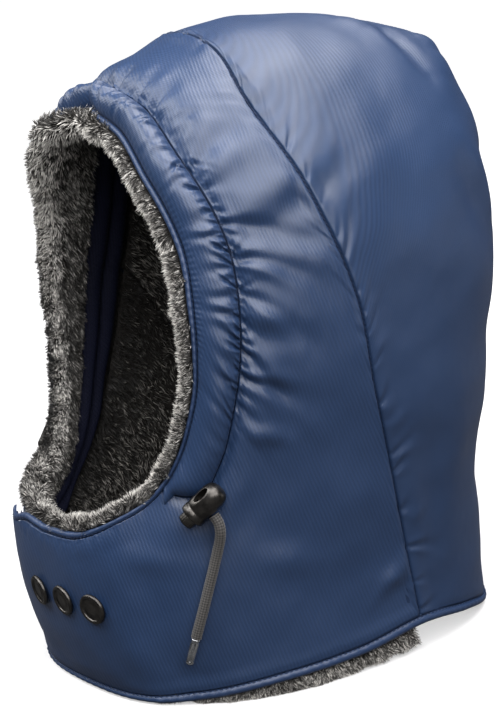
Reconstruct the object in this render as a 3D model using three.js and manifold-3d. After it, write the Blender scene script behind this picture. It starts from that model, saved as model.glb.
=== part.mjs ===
// Detachable padded winter hood with a fur lining, standing on its lower edge.
// Millimetres, +Z up. The face opening looks along -Y, the wearer's left is +X,
// and the origin is on the ground under the middle of the hood.
import * as THREE from 'three';
import { mergeVertices } from 'three/addons/utils/BufferGeometryUtils.js';
import Module from 'manifold-3d';

const wasm = await Module();
wasm.setup();

// Outer form of the padded shell
const CROWN_HEIGHT = 304;
const HALF_WIDTH = 96;
const FRONT_REACH = 112;
const BACK_REACH = 121;
const HEM_LIFT = 10;
const LEAN = 6;
const PLAN_SHIFT = -15.6;

// Face opening, from its sill at the chin to its top
const SILL_HEIGHT = 72;
const FACE_HEIGHT = 190;
const FACE_HALF_WIDTH = 76;

// Cloth and fur thicknesses
const SHELL_WALL = 2.4;
const SEAM_GAP = 0.6;
const LAYER_GAP = 1.3;
const SNAP_GAP = 0.6;
const LINING_GAP = 2.2;
const FUR_DEPTH = 10;
const RIM_FUR_DEPTH = 12;
const RIM_FUR_REACH = 8;
const RIM_FUR_ROLL = 1.5;
const LOCK_DEPTH = 1.6;
const FUR_RISE = 4;

// Bands that follow the edges
const CASING_WIDTH = 21;
const CASING_PUFF = 3.5;
const BROW_PUFF = 0.8;
const EDGE_WIDTH = 3;
const EDGE_PUFF = 0.5;
const HEM_WIDTH = 4;
const FACING_WIDTH = 30;
const RIBBED_WIDTH = 24;
const RIBBED_ROLL = 6;
const RIBBED_WALL = 2;
const GATHER_COUNT = 26;
const GATHER_DEPTH = 1.1;
const GATHER_REACH = 46;
const SEAM_DIP = 0.7;
const SEAM_ROLL = 10;
const SEAM_ROUND_GAP = 0.0008;
const FRONT_BREADTH = 120;
const BACK_BREADTH = 170;
const BACK_GRID = [14, 16];

// Chin flaps, as shares of the way round, and the near one's free end
const FLAP_END = 0.088;
const FLAP_RISE = 3.4;
const FLAP_FLARE = 5;
const FLAP_DROP = 11;
const FLAP_DROP_END = -0.03;
const FAR_FLARE = 4;

// Snap caps on the near flap
const SNAP_RADIUS = 7.5;
const SNAP_HEIGHT = 2.2;
const SNAP_RIM = 1.3;
const SNAP_SPACING = 20.5;
const SNAP_LEVEL = 48;
const SNAP_CENTRE = 14.5;
const SNAP_COUNT = 3;

// Cord locks with a spring button, drawcords and metal tips
const LOCK_RADIUS = 6;
const LOCK_LENGTH = 19;
const LOCK_EDGE = 0.8;
const LOCK_DOME = 5;
const LOCK_TILT = 40;
const LOCK_ROUND = 0.204;
const LOCK_PLACE = 1.1;
const LOCK_LIFT = 0.7;
const BUTTON_RADIUS = 3.9;
const BUTTON_PROUD = 4.5;
const BUTTON_STROKE = 3;
const BUTTON_SEAT = 5;
const RUNNING_GAP = 0.4;
const SLOT_WIDTH = 4.2;
const SLOT_LENGTH = 8;
const SLOT_OFFSET = 1.5;
const CORD_DIAMETER = 5;
const TIP_LENGTH = 13;
const TIP_DIAMETER = 4.2;
const TIP_GAP = 0.3;

// Sections from the crown down: the way to the hem, shares of the sizes above, and how
// square the outline is, as the power of a superellipse
const SECTIONS = [
  { way: 0.00, height: 1.000, width: 0.00, front: 0.00, back: 0.00, square: 2.00 },
  { way: 0.08, height: 0.990, width: 0.24, front: 0.235, back: 0.44, square: 2.00 },
  { way: 0.16, height: 0.956, width: 0.475, front: 0.45, back: 0.75, square: 2.00 },
  { way: 0.25, height: 0.874, width: 0.705, front: 0.745, back: 0.935, square: 2.00 },
  { way: 0.35, height: 0.767, width: 0.91, front: 0.95, back: 0.995, square: 2.05 },
  { way: 0.49, height: 0.599, width: 1.00, front: 0.99, back: 0.98, square: 2.30 },
  { way: 0.60, height: 0.450, width: 0.99, front: 0.935, back: 0.955, square: 2.35 },
  { way: 0.70, height: 0.319, width: 0.94, front: 0.90, back: 0.93, square: 2.35 },
  { way: 0.78, height: 0.214, width: 0.91, front: 0.985, back: 0.955, square: 2.35 },
  { way: 0.88, height: 0.101, width: 0.90, front: 0.92, back: 0.99, square: 2.35 },
  { way: 1.00, height: 0.000, width: 0.90, front: 0.82, back: 1.02, square: 2.35 },
];

// Half of the face opening, from the chin round to the top: its place across and up
// as shares of the opening's sizes, and where the line from it meets the hem
const OPENING = [
  { round: 0.000, across: 0.000, up: 0.00, hemTurn: 0 },
  { round: 0.060, across: 0.38, up: 0.015, hemTurn: 21 },
  { round: 0.120, across: 0.67, up: 0.087, hemTurn: 41 },
  { round: 0.175, across: 0.85, up: 0.194, hemTurn: 57 },
  { round: 0.230, across: 0.96, up: 0.327, hemTurn: 73 },
  { round: 0.285, across: 1.00, up: 0.46, hemTurn: 89 },
  { round: 0.340, across: 0.985, up: 0.585, hemTurn: 106 },
  { round: 0.390, across: 0.90, up: 0.72, hemTurn: 124 },
  { round: 0.435, across: 0.70, up: 0.845, hemTurn: 144 },
  { round: 0.470, across: 0.40, up: 0.95, hemTurn: 162 },
  { round: 0.500, across: 0.00, up: 1.00, hemTurn: 180 },
];

// How far the hem lies above the ground round the hood, as shares of HEM_LIFT
const HEM_LINE = [
  { turn: 0, lift: 0.06 },
  { turn: 40, lift: 0.12 },
  { turn: 70, lift: 0.66 },
  { turn: 95, lift: 0.90 },
  { turn: 113, lift: 1.30 },
  { turn: 130, lift: 0.75 },
  { turn: 150, lift: 0.00 },
  { turn: 180, lift: 0.00 },
];

// Half of the seam round the back panel, from the crown's middle down to the hem:
// its place round the hood and its share of the way down from the opening
const BACK_SEAM = [
  { along: 0.00, round: 0.500, down: 0.110 },
  { along: 0.12, round: 0.472, down: 0.122 },
  { along: 0.22, round: 0.450, down: 0.144 },
  { along: 0.32, round: 0.426, down: 0.190 },
  { along: 0.42, round: 0.405, down: 0.250 },
  { along: 0.55, round: 0.386, down: 0.350 },
  { along: 0.70, round: 0.369, down: 0.490 },
  { along: 0.85, round: 0.364, down: 0.725 },
  { along: 1.00, round: 0.358, down: 1.000 },
];
const SEAM_FOOT = BACK_SEAM.at(-1).round;
const PANEL_SPLIT = 0.3;
const PANEL_COLUMNS = 64;
const CASING_COLUMN = 10;
const CASING_FULL_COLUMN = 12;

// Width of the drawcord casing, as shares of CASING_WIDTH
const CASING = [
  { round: 0.20, width: 1.20 },
  { round: 0.29, width: 1.05 },
  { round: 0.38, width: 0.90 },
  { round: 0.44, width: 0.75 },
  { round: 0.50, width: 0.62 },
];

// Width of the fur facing round the opening, as shares of FACING_WIDTH
const FACING = [
  { round: 0.00, width: 0.80 },
  { round: 0.17, width: 0.55 },
  { round: 0.25, width: 0.72 },
  { round: 0.34, width: 0.90 },
  { round: 0.42, width: 1.20 },
  { round: 0.50, width: 1.45 },
];

const smooth = (from, to, at) => THREE.MathUtils.smoothstep(at, from, to);
const mix = THREE.MathUtils.lerp;

// A smooth curve through one column of a table
function curve(table, key, column, at) {
  const last = table.length - 1;
  let low = 0;
  while (low < last - 1 && table[low + 1][key] <= at) low += 1;
  const slope = (index) => {
    const before = table[Math.max(index - 1, 0)];
    const after = table[Math.min(index + 1, last)];
    return (after[column] - before[column]) / (after[key] - before[key]);
  };
  const left = table[low];
  const right = table[low + 1];
  const span = right[key] - left[key];
  const part = (at - left[key]) / span;
  if (part > 1) return right[column] + slope(low + 1) * span * (part - 1);
  const square = part * part;
  const cube = square * part;
  return (2 * cube - 3 * square + 1) * left[column]
    + (cube - 2 * square + part) * span * slope(low)
    + (3 * square - 2 * cube) * right[column]
    + (cube - square) * span * slope(low + 1);
}

// As worn the neck edge is lower at the chin; on the ground the hood leans back by that much
const LEAN_ANGLE = THREE.MathUtils.degToRad(LEAN);
const LEAN_AXIS = new THREE.Vector3(1, 0, 0);

const MIRRORED_SECTIONS = [
  ...SECTIONS.slice(1, 3).reverse().map((row) => ({
    ...row, way: -row.way, width: -row.width, front: -row.front, back: -row.back,
  })),
  ...SECTIONS,
];

// The hem's height above the ground at a turn from the front, in degrees
const hemLift = (degrees) => HEM_LIFT * Math.max(0, curve(HEM_LINE, 'turn', 'lift', degrees));

// The outer form at a share of the way down and a turn from the front, in radians
function formPoint(way, turn) {
  const share = (column) => curve(MIRRORED_SECTIONS, 'way', column, way);
  const side = Math.sin(turn);
  const ahead = Math.cos(turn);
  const square = share('square');
  const round = (Math.abs(side) ** square + Math.abs(ahead) ** square) ** (-1 / square);
  const reach = ahead > 0 ? share('front') * FRONT_REACH : share('back') * BACK_REACH;
  const degrees = THREE.MathUtils.radToDeg(Math.abs(Math.atan2(side, ahead)));
  const hemReach = (ahead > 0 ? SECTIONS.at(-1).front * FRONT_REACH : SECTIONS.at(-1).back * BACK_REACH);
  const hemAbove = hemLift(degrees) - hemReach * ahead * round * Math.sin(LEAN_ANGLE);
  const worn = new THREE.Vector3(
    share('width') * HALF_WIDTH * side * round,
    -reach * ahead * round,
    share('height') * CROWN_HEIGHT,
  );
  const settled = worn.applyAxisAngle(LEAN_AXIS, -LEAN_ANGLE);
  return settled.add(new THREE.Vector3(0, PLAN_SHIFT, hemAbove * smooth(0.6, 1, way)));
}

// The way down at which the form has a given height
function wayAtHeight(height) {
  let low = 0;
  let high = 1;
  for (let step = 0; step < 30; step += 1) {
    const way = (low + high) / 2;
    if (curve(MIRRORED_SECTIONS, 'way', 'height', way) * CROWN_HEIGHT > height) low = way;
    else high = way;
  }
  return low;
}

// Round is 0 at the chin and 0.5 at the top; values past the ends carry on round
function halfRound(round) {
  const wrapped = round - Math.floor(round);
  return wrapped <= 0.5 ? [wrapped, 1] : [1 - wrapped, -1];
}

// Both ends of the line from the face opening to the hem, on the form's plan
function planEnds(round) {
  const [half, side] = halfRound(round);
  const across = curve(OPENING, 'round', 'across', half) * FACE_HALF_WIDTH;
  const height = SILL_HEIGHT + curve(OPENING, 'round', 'up', half) * FACE_HEIGHT;
  const way = wayAtHeight(height);
  const share = Math.min(across / (curve(MIRRORED_SECTIONS, 'way', 'width', way) * HALF_WIDTH), 0.99);
  const square = curve(MIRRORED_SECTIONS, 'way', 'square', way);
  const turn = Math.atan2(share, (1 - share ** square) ** (1 / square));
  const hemTurn = THREE.MathUtils.degToRad(curve(OPENING, 'round', 'hemTurn', half));
  return [side * way * Math.sin(turn), way * Math.cos(turn),
    side * Math.sin(hemTurn), Math.cos(hemTurn)];
}

// A point of the shell's outer face: round the opening, and down from it to the hem
function facePoint(round, down) {
  const [acrossFrom, aheadFrom, acrossTo, aheadTo] = planEnds(round);
  const across = mix(acrossFrom, acrossTo, down);
  const ahead = mix(aheadFrom, aheadTo, down);
  return formPoint(Math.hypot(across, ahead), Math.atan2(across, ahead));
}

const NUDGE = 0.002;
const alongRound = (round, down) =>
  facePoint(round + NUDGE, down).sub(facePoint(round - NUDGE, down)).divideScalar(2 * NUDGE);
const alongDown = (round, down) =>
  facePoint(round, down + NUDGE).sub(facePoint(round, down - NUDGE)).divideScalar(2 * NUDGE);

// The near flap passes over the far one and flares at its free end
function flapRise(round) {
  return FLAP_RISE * (1 - smooth(FLAP_END + 0.004, FLAP_END + 0.05, round))
    + FLAP_FLARE * (1 - smooth(-FLAP_END, FLAP_END * 0.6, round))
    + FAR_FLARE * smooth(0.84, 0.90, round) * (1 - smooth(0.91, 1.01, round));
}

// The near flap's upper edge slopes down to its free end
const flapDrop = (round) => FLAP_DROP * (1 - smooth(-FLAP_END, FLAP_DROP_END, round));

// A point that lies a distance out from the outer face, negative inside
function shellPoint(round, down, out) {
  const normal = alongDown(round, down).cross(alongRound(round, down)).normalize();
  return facePoint(round, down).addScaledVector(normal, out + flapRise(round));
}

// A length along the line down from the opening, as a share of that line
const downShare = (round, length) => length / alongDown(round, 0.02).length();
const hemShare = (round, length) => length / alongDown(round, 0.98).length();
const roundShare = (round, down, length) => length / alongRound(round, down).length();

// A closed sheet between two grids of points, outer and inner
function sheet(columns, rows, outer, inner) {
  const loopSize = 2 * (rows + 1);
  const points = [];
  for (let column = 0; column <= columns; column += 1) {
    for (let row = 0; row <= rows; row += 1) points.push(outer(column / columns, row / rows));
    for (let row = rows; row >= 0; row -= 1) points.push(inner(column / columns, row / rows));
  }
  const triangles = [];
  const quad = (a, b, c, d) => triangles.push(a, b, c, a, c, d);
  for (let column = 0; column < columns; column += 1) {
    for (let place = 0; place < loopSize; place += 1) {
      const next = (place + 1) % loopSize;
      const here = column * loopSize;
      quad(here + place, here + next, here + loopSize + next, here + loopSize + place);
    }
  }
  const last = columns * loopSize;
  for (let row = 0; row < rows; row += 1) {
    const back = loopSize - 1 - row;
    quad(row, back, back - 1, row + 1);
    quad(last + row, last + row + 1, last + back - 1, last + back);
  }
  return closedGeometry(points.flatMap((point) => point.toArray()), triangles);
}

// A geometry whose faces point outwards
function closedGeometry(values, triangles) {
  const at = (index) => new THREE.Vector3().fromArray(values, index * 3);
  let volume = 0;
  for (let start = 0; start < triangles.length; start += 3) {
    const [a, b, c] = [0, 1, 2].map((corner) => at(triangles[start + corner]));
    volume += a.dot(b.cross(c));
  }
  if (volume < 0) triangles.reverse();
  const geometry = new THREE.BufferGeometry();
  geometry.setAttribute('position', new THREE.Float32BufferAttribute(values, 3));
  geometry.setIndex(triangles);
  geometry.computeVertexNormals();
  return geometry;
}

// Solids for cuts
function solidOf(geometry) {
  const bare = geometry.clone();
  bare.deleteAttribute('normal');
  bare.deleteAttribute('uv');
  const merged = mergeVertices(bare, 1e-4);
  return new wasm.Manifold(new wasm.Mesh({
    numProp: 3,
    vertProperties: new Float32Array(merged.attributes.position.array),
    triVerts: new Uint32Array(merged.index.array),
  }));
}

function geometryOf(solid) {
  const mesh = solid.getMesh();
  return closedGeometry(Array.from(mesh.vertProperties), Array.from(mesh.triVerts));
}

// Materials
const finish = (color, roughness, metalness) =>
  new THREE.MeshStandardMaterial({ color, roughness, metalness });
const SHELL_CLOTH = [0x3a4d78, 0.5, 0];
const EDGE_CLOTH = [0x2f3f68, 0.55, 0];
const LINING_CLOTH = [0x1c2440, 0.7, 0];
const FUR = [0x6c6a68, 0.95, 0];
const DARK_FUR = [0x45423f, 0.95, 0];
const GUNMETAL = [0x4c4a4b, 0.35, 0.8];
const CORD = [0x55565a, 0.8, 0];
const SILVER = [0xb9bbc0, 0.3, 1];

const hood = new THREE.Group();

function addPiece(name, geometry, [color, roughness, metalness], parent = hood) {
  const mesh = new THREE.Mesh(geometry, finish(color, roughness, metalness));
  mesh.name = name;
  parent.add(mesh);
  return mesh;
}

// Gathers on both sides of the drawcord seam, deepest at the seam
function gather(round, fromSeam) {
  const fade = smooth(0.12, 0.2, round) * (1 - smooth(0.8, 0.88, round));
  const reach = Math.max(0, 1 - Math.abs(fromSeam) / GATHER_REACH) ** 2;
  return -GATHER_DEPTH * fade * reach * Math.cos(2 * Math.PI * GATHER_COUNT * round);
}

// Where the front panel's and the turned edge's columns start round the opening
function startRound(part) {
  const half = 2 * Math.min(part, 1 - part);
  const round = half < 0.5
    ? mix(-FLAP_END, PANEL_SPLIT, half / 0.5)
    : mix(PANEL_SPLIT, 0.5, half / 0.5 - 1);
  return part <= 0.5 ? round : 1 - round;
}

const CASING_END = startRound(CASING_COLUMN / PANEL_COLUMNS);
const CASING_FULL = startRound(CASING_FULL_COLUMN / PANEL_COLUMNS);

// The casing tapers to its ends between two columns of the front panel
const CASING_TIP = 0.06;
function casingTaper(round) {
  const [half] = halfRound(round);
  if (half < CASING_END - 1e-6) return 0;
  return mix(CASING_TIP, 1, Math.min(1, (half - CASING_END) / (CASING_FULL - CASING_END)));
}
const casingWidth = (round) => CASING_WIDTH * curve(CASING, 'round', 'width', halfRound(round)[0]);

// Where the panels start: at the turned edge by the chin, behind the casing above it
function panelStart(round) {
  const taper = casingTaper(round);
  const behindCasing = taper > 0 ? casingWidth(round) * taper + SEAM_GAP : 0;
  return downShare(round, EDGE_WIDTH + SEAM_GAP + flapDrop(round) + behindCasing);
}

// Turned edge round the face opening, from the near flap's end to the far flap's
function addFaceEdge() {
  const place = (inside) => (part, across) => {
    const round = startRound(part);
    const down = downShare(round, EDGE_WIDTH * across + flapDrop(round));
    const puff = EDGE_PUFF * Math.sin(Math.PI * across);
    return shellPoint(round, down, inside ? -SHELL_WALL - puff * 0.4 : puff);
  };
  addPiece('face_edge', sheet(PANEL_COLUMNS, 2, place(false), place(true)), EDGE_CLOTH);
}

// Drawcord casing over the top, from one cord lock to the other
function addCasing() {
  const place = (inside) => (part, across) => {
    const first = CASING_COLUMN / PANEL_COLUMNS;
    const round = startRound(mix(first, 1 - first, part));
    const width = casingWidth(round) * casingTaper(round);
    const length = EDGE_WIDTH + SEAM_GAP + width * across;
    const overBrow = 1 + BROW_PUFF * smooth(0.36, 0.46, halfRound(round)[0]);
    const puff = CASING_PUFF * overBrow * casingTaper(round) * Math.sin(Math.PI * across) ** 0.8;
    const fold = gather(round, width * (1 - across));
    return shellPoint(round, downShare(round, length), inside ? -SHELL_WALL : puff + fold);
  };
  addPiece('drawcord_casing', sheet(88, 3, place(false), place(true)), SHELL_CLOTH);
}

const backSeam = (along, column) => curve(BACK_SEAM, 'along', column, along);
const hemDown = (round) => 1 - hemShare(round, HEM_WIDTH + SEAM_GAP);

// Relief of a panel's outer face: gathers by the casing, and an edge that turns in
function panelRelief(round, down, fromEdge) {
  const fromCasing = (down - panelStart(round)) * alongDown(round, 0.3).length();
  const roll = Math.max(0, 1 - fromEdge / SEAM_ROLL) ** 2;
  return gather(round, fromCasing) - SEAM_DIP * roll;
}

// Front panel in one piece, from the near chin flap over the head to the far flap
function addFrontPanel() {
  const place = (inside) => (part, across) => {
    const half = 1 - Math.abs(2 * part - 1);
    const byHem = half < 0.5;
    const share = byHem ? half / 0.5 : half / 0.5 - 1;
    const start = startRound(Math.min(part, 1 - part));
    const along = 1 - share;
    const endRound = byHem ? mix(-FLAP_END, SEAM_FOOT, share) : backSeam(along, 'round');
    const seamDown = byHem ? 1 : backSeam(along, 'down') - downShare(endRound, SEAM_GAP / 2);
    const endDown = Math.min(seamDown, hemDown(endRound));
    const leftRound = mix(start, endRound, across) - (byHem ? 0 : SEAM_ROUND_GAP * across);
    const round = part <= 0.5 ? leftRound : 1 - leftRound;
    const down = mix(panelStart(start), endDown, across);
    const fromEdge = byHem ? SEAM_ROLL : (1 - across) * FRONT_BREADTH;
    return shellPoint(round, down, inside ? -SHELL_WALL : panelRelief(round, down, fromEdge));
  };
  addPiece('front_panel', sheet(PANEL_COLUMNS, 8, place(false), place(true)), SHELL_CLOTH);
}

// Back panel, rounded over the crown and wide at the hem
function addBackPanel() {
  const place = (inside) => (part, across) => {
    const along = mix(0.08, 1, across ** 0.75);
    const edge = backSeam(along, 'round') + SEAM_ROUND_GAP;
    const round = mix(edge, 1 - edge, part);
    const down = Math.min(backSeam(along, 'down') + downShare(0.5, SEAM_GAP), hemDown(round));
    const fromEdge = Math.min(part, 1 - part) * BACK_BREADTH;
    return shellPoint(round, down, inside ? -SHELL_WALL : panelRelief(round, down, fromEdge));
  };
  const [columns, rows] = BACK_GRID;
  addPiece('back_panel', sheet(columns, rows, place(false), place(true)), SHELL_CLOTH);
}

// Turned hem, from the near flap's end round the back to the far flap's
function addHem() {
  const place = (inside) => (part, across) => {
    const round = mix(-FLAP_END, 1 + FLAP_END, part);
    const down = 1 - hemShare(round, HEM_WIDTH * (1 - across));
    const point = shellPoint(round, down, inside ? -SHELL_WALL : EDGE_PUFF);
    if (across === 1) point.z = hemLift(curve(OPENING, 'round', 'hemTurn', halfRound(round)[0]));
    return point;
  };
  addPiece('hem_band', sheet(54, 1, place(false), place(true)), EDGE_CLOTH);
}

const facingWidth = (round) => FACING_WIDTH * curve(FACING, 'round', 'width', halfRound(round)[0]);

// Locks of pile, as a relief on the fur's free face
const locks = (round, down) =>
  LOCK_DEPTH * Math.sin(150 * round + 3 * down) * Math.sin(21 * down + 40 * round);

// Fur facing that rolls out over the edge of the opening
function addRimFur() {
  const base = SHELL_WALL + EDGE_PUFF + LAYER_GAP;
  const place = (inside) => (part, across) => {
    const round = mix(0.012, 0.988, part);
    const length = mix(-RIM_FUR_REACH, facingWidth(round), across);
    const bulge = Math.sin(Math.PI * Math.min(across * 1.6 + 0.12, 1 - across * 0.2)) ** 0.6;
    const depth = mix(RIM_FUR_DEPTH * 0.35, RIM_FUR_DEPTH, bulge) + locks(round, across);
    const flat = base + flapRise(round);
    const out = across === 0 ? -flat - RIM_FUR_ROLL : -flat;
    return shellPoint(round, downShare(round, length), inside ? -flat - depth : out);
  };
  addPiece('rim_fur', sheet(48, 5, place(false), place(true)), FUR);
}

const BAND_START = 0.12;

// Ribbed cloth band behind the facing: two rolls with a stitched valley
function addRibbedBand() {
  const place = (inside) => (part, across) => {
    const round = mix(BAND_START, 1 - BAND_START, part);
    const from = facingWidth(round) + LAYER_GAP;
    const down = downShare(round, from + RIBBED_WIDTH * across);
    const roll = RIBBED_ROLL * Math.abs(Math.sin(2 * Math.PI * across)) ** 0.7;
    const out = SHELL_WALL + LINING_GAP;
    return shellPoint(round, down, inside ? -out - RIBBED_WALL - roll : -out);
  };
  addPiece('ribbed_band', sheet(32, 6, place(false), place(true)), LINING_CLOTH);
}

// Where the fur lining starts behind the facing or the ribbed band
function liningStart(round) {
  const [half] = halfRound(round);
  const behindBand = smooth(BAND_START - 0.07, BAND_START - 0.03, half);
  const length = facingWidth(round) + LAYER_GAP + (RIBBED_WIDTH + LAYER_GAP) * behindBand;
  return downShare(round, length);
}

// One side's fur lining, which shows below the hem and carries the hood
function addSideLining(name, chinEnd, mirrored) {
  const out = SHELL_WALL + LAYER_GAP + EDGE_PUFF;
  const place = (inside) => (part, across) => {
    const end = mirrored ? 1 - SEAM_FOOT : SEAM_FOOT;
    const round = mix(chinEnd, end, part);
    const down = mix(liningStart(round), 1, across);
    const depth = across === 1 ? FUR_DEPTH : FUR_DEPTH + locks(round, across);
    const point = shellPoint(round, down, -out - flapRise(round) - (inside ? depth : 0));
    const [half] = halfRound(round);
    const shows = smooth(0.12, 0.15, half);
    const rise = FUR_RISE * smooth(0.25, SEAM_FOOT, half);
    if (across === 1) point.z = mix(point.z, rise, shows);
    return point;
  };
  addPiece(name, sheet(14, 8, place(false), place(true)), DARK_FUR);
}

// Fur lining of the crown and back, which ends above the hem
function addCentreLining() {
  const out = SHELL_WALL + LINING_GAP;
  const place = (inside) => (part, across) => {
    const edge = SEAM_FOOT + 0.0015;
    const round = mix(edge, 1 - edge, part);
    const down = mix(liningStart(round), 1 - hemShare(round, HEM_WIDTH), across);
    const depth = FUR_DEPTH + locks(round, across);
    return shellPoint(round, down, -out - (inside ? depth : 0));
  };
  addPiece('centre_lining', sheet(12, 11, place(false), place(true)), DARK_FUR);
}

// Round and down of the shell point at a place across and up, near a first guess
function findOnShell(across, height, out, guess) {
  let [round, down] = guess;
  for (let step = 0; step < 12; step += 1) {
    const here = shellPoint(round, down, out);
    const byRound = shellPoint(round + NUDGE, down, out).sub(here).divideScalar(NUDGE);
    const byDown = shellPoint(round, down + NUDGE, out).sub(here).divideScalar(NUDGE);
    const missAcross = across - here.x;
    const missUp = height - here.z;
    const scale = byRound.x * byDown.z - byDown.x * byRound.z;
    round += (missAcross * byDown.z - byDown.x * missUp) / scale;
    down += (byRound.x * missUp - missAcross * byRound.z) / scale;
  }
  return [round, down];
}

// A frame standing on the shell: origin on its face, z out of it, x level towards the back
function standOnShell(round, down, out) {
  const origin = shellPoint(round, down, out);
  const side = alongRound(round, down).normalize();
  const outward = alongDown(round, down).cross(side).normalize();
  const level = new THREE.Vector3(0, 0, 1).cross(outward).normalize();
  const upward = outward.clone().cross(level);
  return new THREE.Matrix4().makeBasis(level, upward, outward).setPosition(origin);
}

function standingGroup(matrix) {
  const group = new THREE.Group();
  matrix.decompose(group.position, group.quaternion, group.scale);
  hood.add(group);
  return group;
}

// Snap caps with a raised rim and a shallow ring, in a row on the near flap
function addSnaps() {
  const profile = [
    [0, 0], [SNAP_RADIUS - 0.6, 0], [SNAP_RADIUS, 0.7], [SNAP_RADIUS - 0.3, SNAP_HEIGHT - 0.3],
    [SNAP_RADIUS - SNAP_RIM, SNAP_HEIGHT], [SNAP_RADIUS - SNAP_RIM - 0.7, SNAP_HEIGHT - 0.8],
    [SNAP_RADIUS * 0.4, SNAP_HEIGHT - 0.6], [0, SNAP_HEIGHT - 0.5],
  ].map(([radius, height]) => new THREE.Vector2(radius, height));
  for (let index = 0; index < SNAP_COUNT; index += 1) {
    const across = SNAP_CENTRE + SNAP_SPACING * (index - (SNAP_COUNT - 1) / 2);
    const guess = [across / 560, 0.45];
    const [round, down] = findOnShell(across, SNAP_LEVEL, 0, guess);
    const seat = standingGroup(standOnShell(round, down, SNAP_GAP));
    const cap = new THREE.LatheGeometry(profile, 14).rotateX(Math.PI / 2);
    addPiece(`snap_cap_${index + 1}`, cap, GUNMETAL, seat);
  }
}

// Cord lock lying on the end of the casing, its button at the lower front end
function addCordLock(side, sign) {
  const round = sign > 0 ? LOCK_ROUND : 1 - LOCK_ROUND;
  const down = downShare(round, EDGE_WIDTH + casingWidth(round) * LOCK_PLACE);
  const seat = standOnShell(round, down, LOCK_RADIUS + LOCK_LIFT);
  const tilt = THREE.MathUtils.degToRad(sign > 0 ? LOCK_TILT : 180 - LOCK_TILT);
  const group = standingGroup(seat.multiply(new THREE.Matrix4().makeRotationZ(tilt)));
  const bore = BUTTON_RADIUS + RUNNING_GAP;
  const half = LOCK_LENGTH / 2;
  const floor = -half + BUTTON_SEAT + BUTTON_STROKE + RUNNING_GAP;
  const barrelProfile = [
    [0, floor], [bore, floor], [bore, -half], [LOCK_RADIUS - LOCK_EDGE, -half],
    [LOCK_RADIUS, -half + LOCK_EDGE], [LOCK_RADIUS, half - LOCK_DOME], [LOCK_RADIUS * 0.88, half - LOCK_DOME * 0.4],
    [LOCK_RADIUS * 0.55, half - LOCK_DOME * 0.08], [0, half],
  ].map(([radius, height]) => new THREE.Vector2(radius, height));
  const barrel = new THREE.LatheGeometry(barrelProfile, 16).rotateZ(-Math.PI / 2);
  const slot = new THREE.CapsuleGeometry(SLOT_WIDTH / 2, SLOT_LENGTH - SLOT_WIDTH, 3, 10);
  slot.rotateZ(Math.PI / 2).translate(SLOT_OFFSET, sign * LOCK_RADIUS * 0.75, LOCK_RADIUS * 0.55);
  const cut = solidOf(barrel).subtract(solidOf(slot));
  addPiece(`cord_lock_${side}`, geometryOf(cut), GUNMETAL, group);
  const buttonProfile = [
    [0, -half - BUTTON_PROUD], [BUTTON_RADIUS - LOCK_EDGE, -half - BUTTON_PROUD],
    [BUTTON_RADIUS, -half - BUTTON_PROUD + LOCK_EDGE],
    [BUTTON_RADIUS, -half + BUTTON_SEAT], [0, -half + BUTTON_SEAT],
  ].map(([radius, height]) => new THREE.Vector2(radius, height));
  const button = new THREE.LatheGeometry(buttonProfile, 16).rotateZ(-Math.PI / 2);
  addPiece(`lock_button_${side}`, button, GUNMETAL, group);
}

// Drawcord that leaves its lock and hangs down the side, with a crimped metal tip
const CORD_ROUTE = [
  [82.0, -73.6, 93.8], [83.2, -72.4, 90.4], [83.5, -72.0, 86.5], [82.3, -71.9, 82.4],
  [80.8, -72.4, 78.0], [79.3, -73.5, 72.5], [77.8, -75.4, 65.0], [76.3, -77.6, 57.1],
  [74.8, -79.8, 49.1], [73.0, -82.0, 41.0], [71.5, -83.4, 35.2],
];
const CORD_SIDES = 8;
const CORD_STEPS = 12;

function addCord(side, sign) {
  const route = CORD_ROUTE.map(([x, y, z]) => new THREE.Vector3(sign * x, y, z));
  const section = new THREE.Shape();
  for (let index = 0; index < CORD_SIDES; index += 1) {
    const angle = (2 * Math.PI * (index + 0.5)) / CORD_SIDES;
    const x = (CORD_DIAMETER / 2) * Math.cos(angle);
    const y = (CORD_DIAMETER / 2) * Math.sin(angle);
    if (index === 0) section.moveTo(x, y);
    else section.lineTo(x, y);
  }
  section.closePath();
  const path = new THREE.CatmullRomCurve3(route);
  const tube = new THREE.ExtrudeGeometry(section, {
    steps: CORD_STEPS, bevelEnabled: false, extrudePath: path,
  });
  addPiece(`drawcord_${side}`, tube, CORD);

  const end = route.at(-1);
  const heading = end.clone().sub(route.at(-2)).normalize();
  const radius = TIP_DIAMETER / 2;
  const profile = [
    [0, 0], [radius - 0.3, 0], [radius, 0.3], [radius, TIP_LENGTH - 0.5],
    [radius - 0.5, TIP_LENGTH], [0, TIP_LENGTH],
  ].map(([across, along]) => new THREE.Vector2(across, along));
  const tip = addPiece(`cord_tip_${side}`, new THREE.LatheGeometry(profile, 12), SILVER);
  tip.quaternion.setFromUnitVectors(new THREE.Vector3(0, 1, 0), heading);
  tip.position.copy(end).addScaledVector(heading, TIP_GAP);
}

addFaceEdge();
addCasing();
addFrontPanel();
addBackPanel();
addHem();
addRimFur();
addRibbedBand();
addSideLining('side_lining_left', FLAP_END + 0.006, false);
addSideLining('side_lining_right', 1 + FLAP_END - 0.006, true);
addCentreLining();
addSnaps();
addCordLock('left', 1);
addCordLock('right', -1);
addCord('left', 1);
addCord('right', -1);

export default hood;
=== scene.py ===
"""Looks of the padded hood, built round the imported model. Metres in Blender, mm below."""

import math

import bpy
import numpy as np
from mathutils import Matrix, Vector


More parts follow.
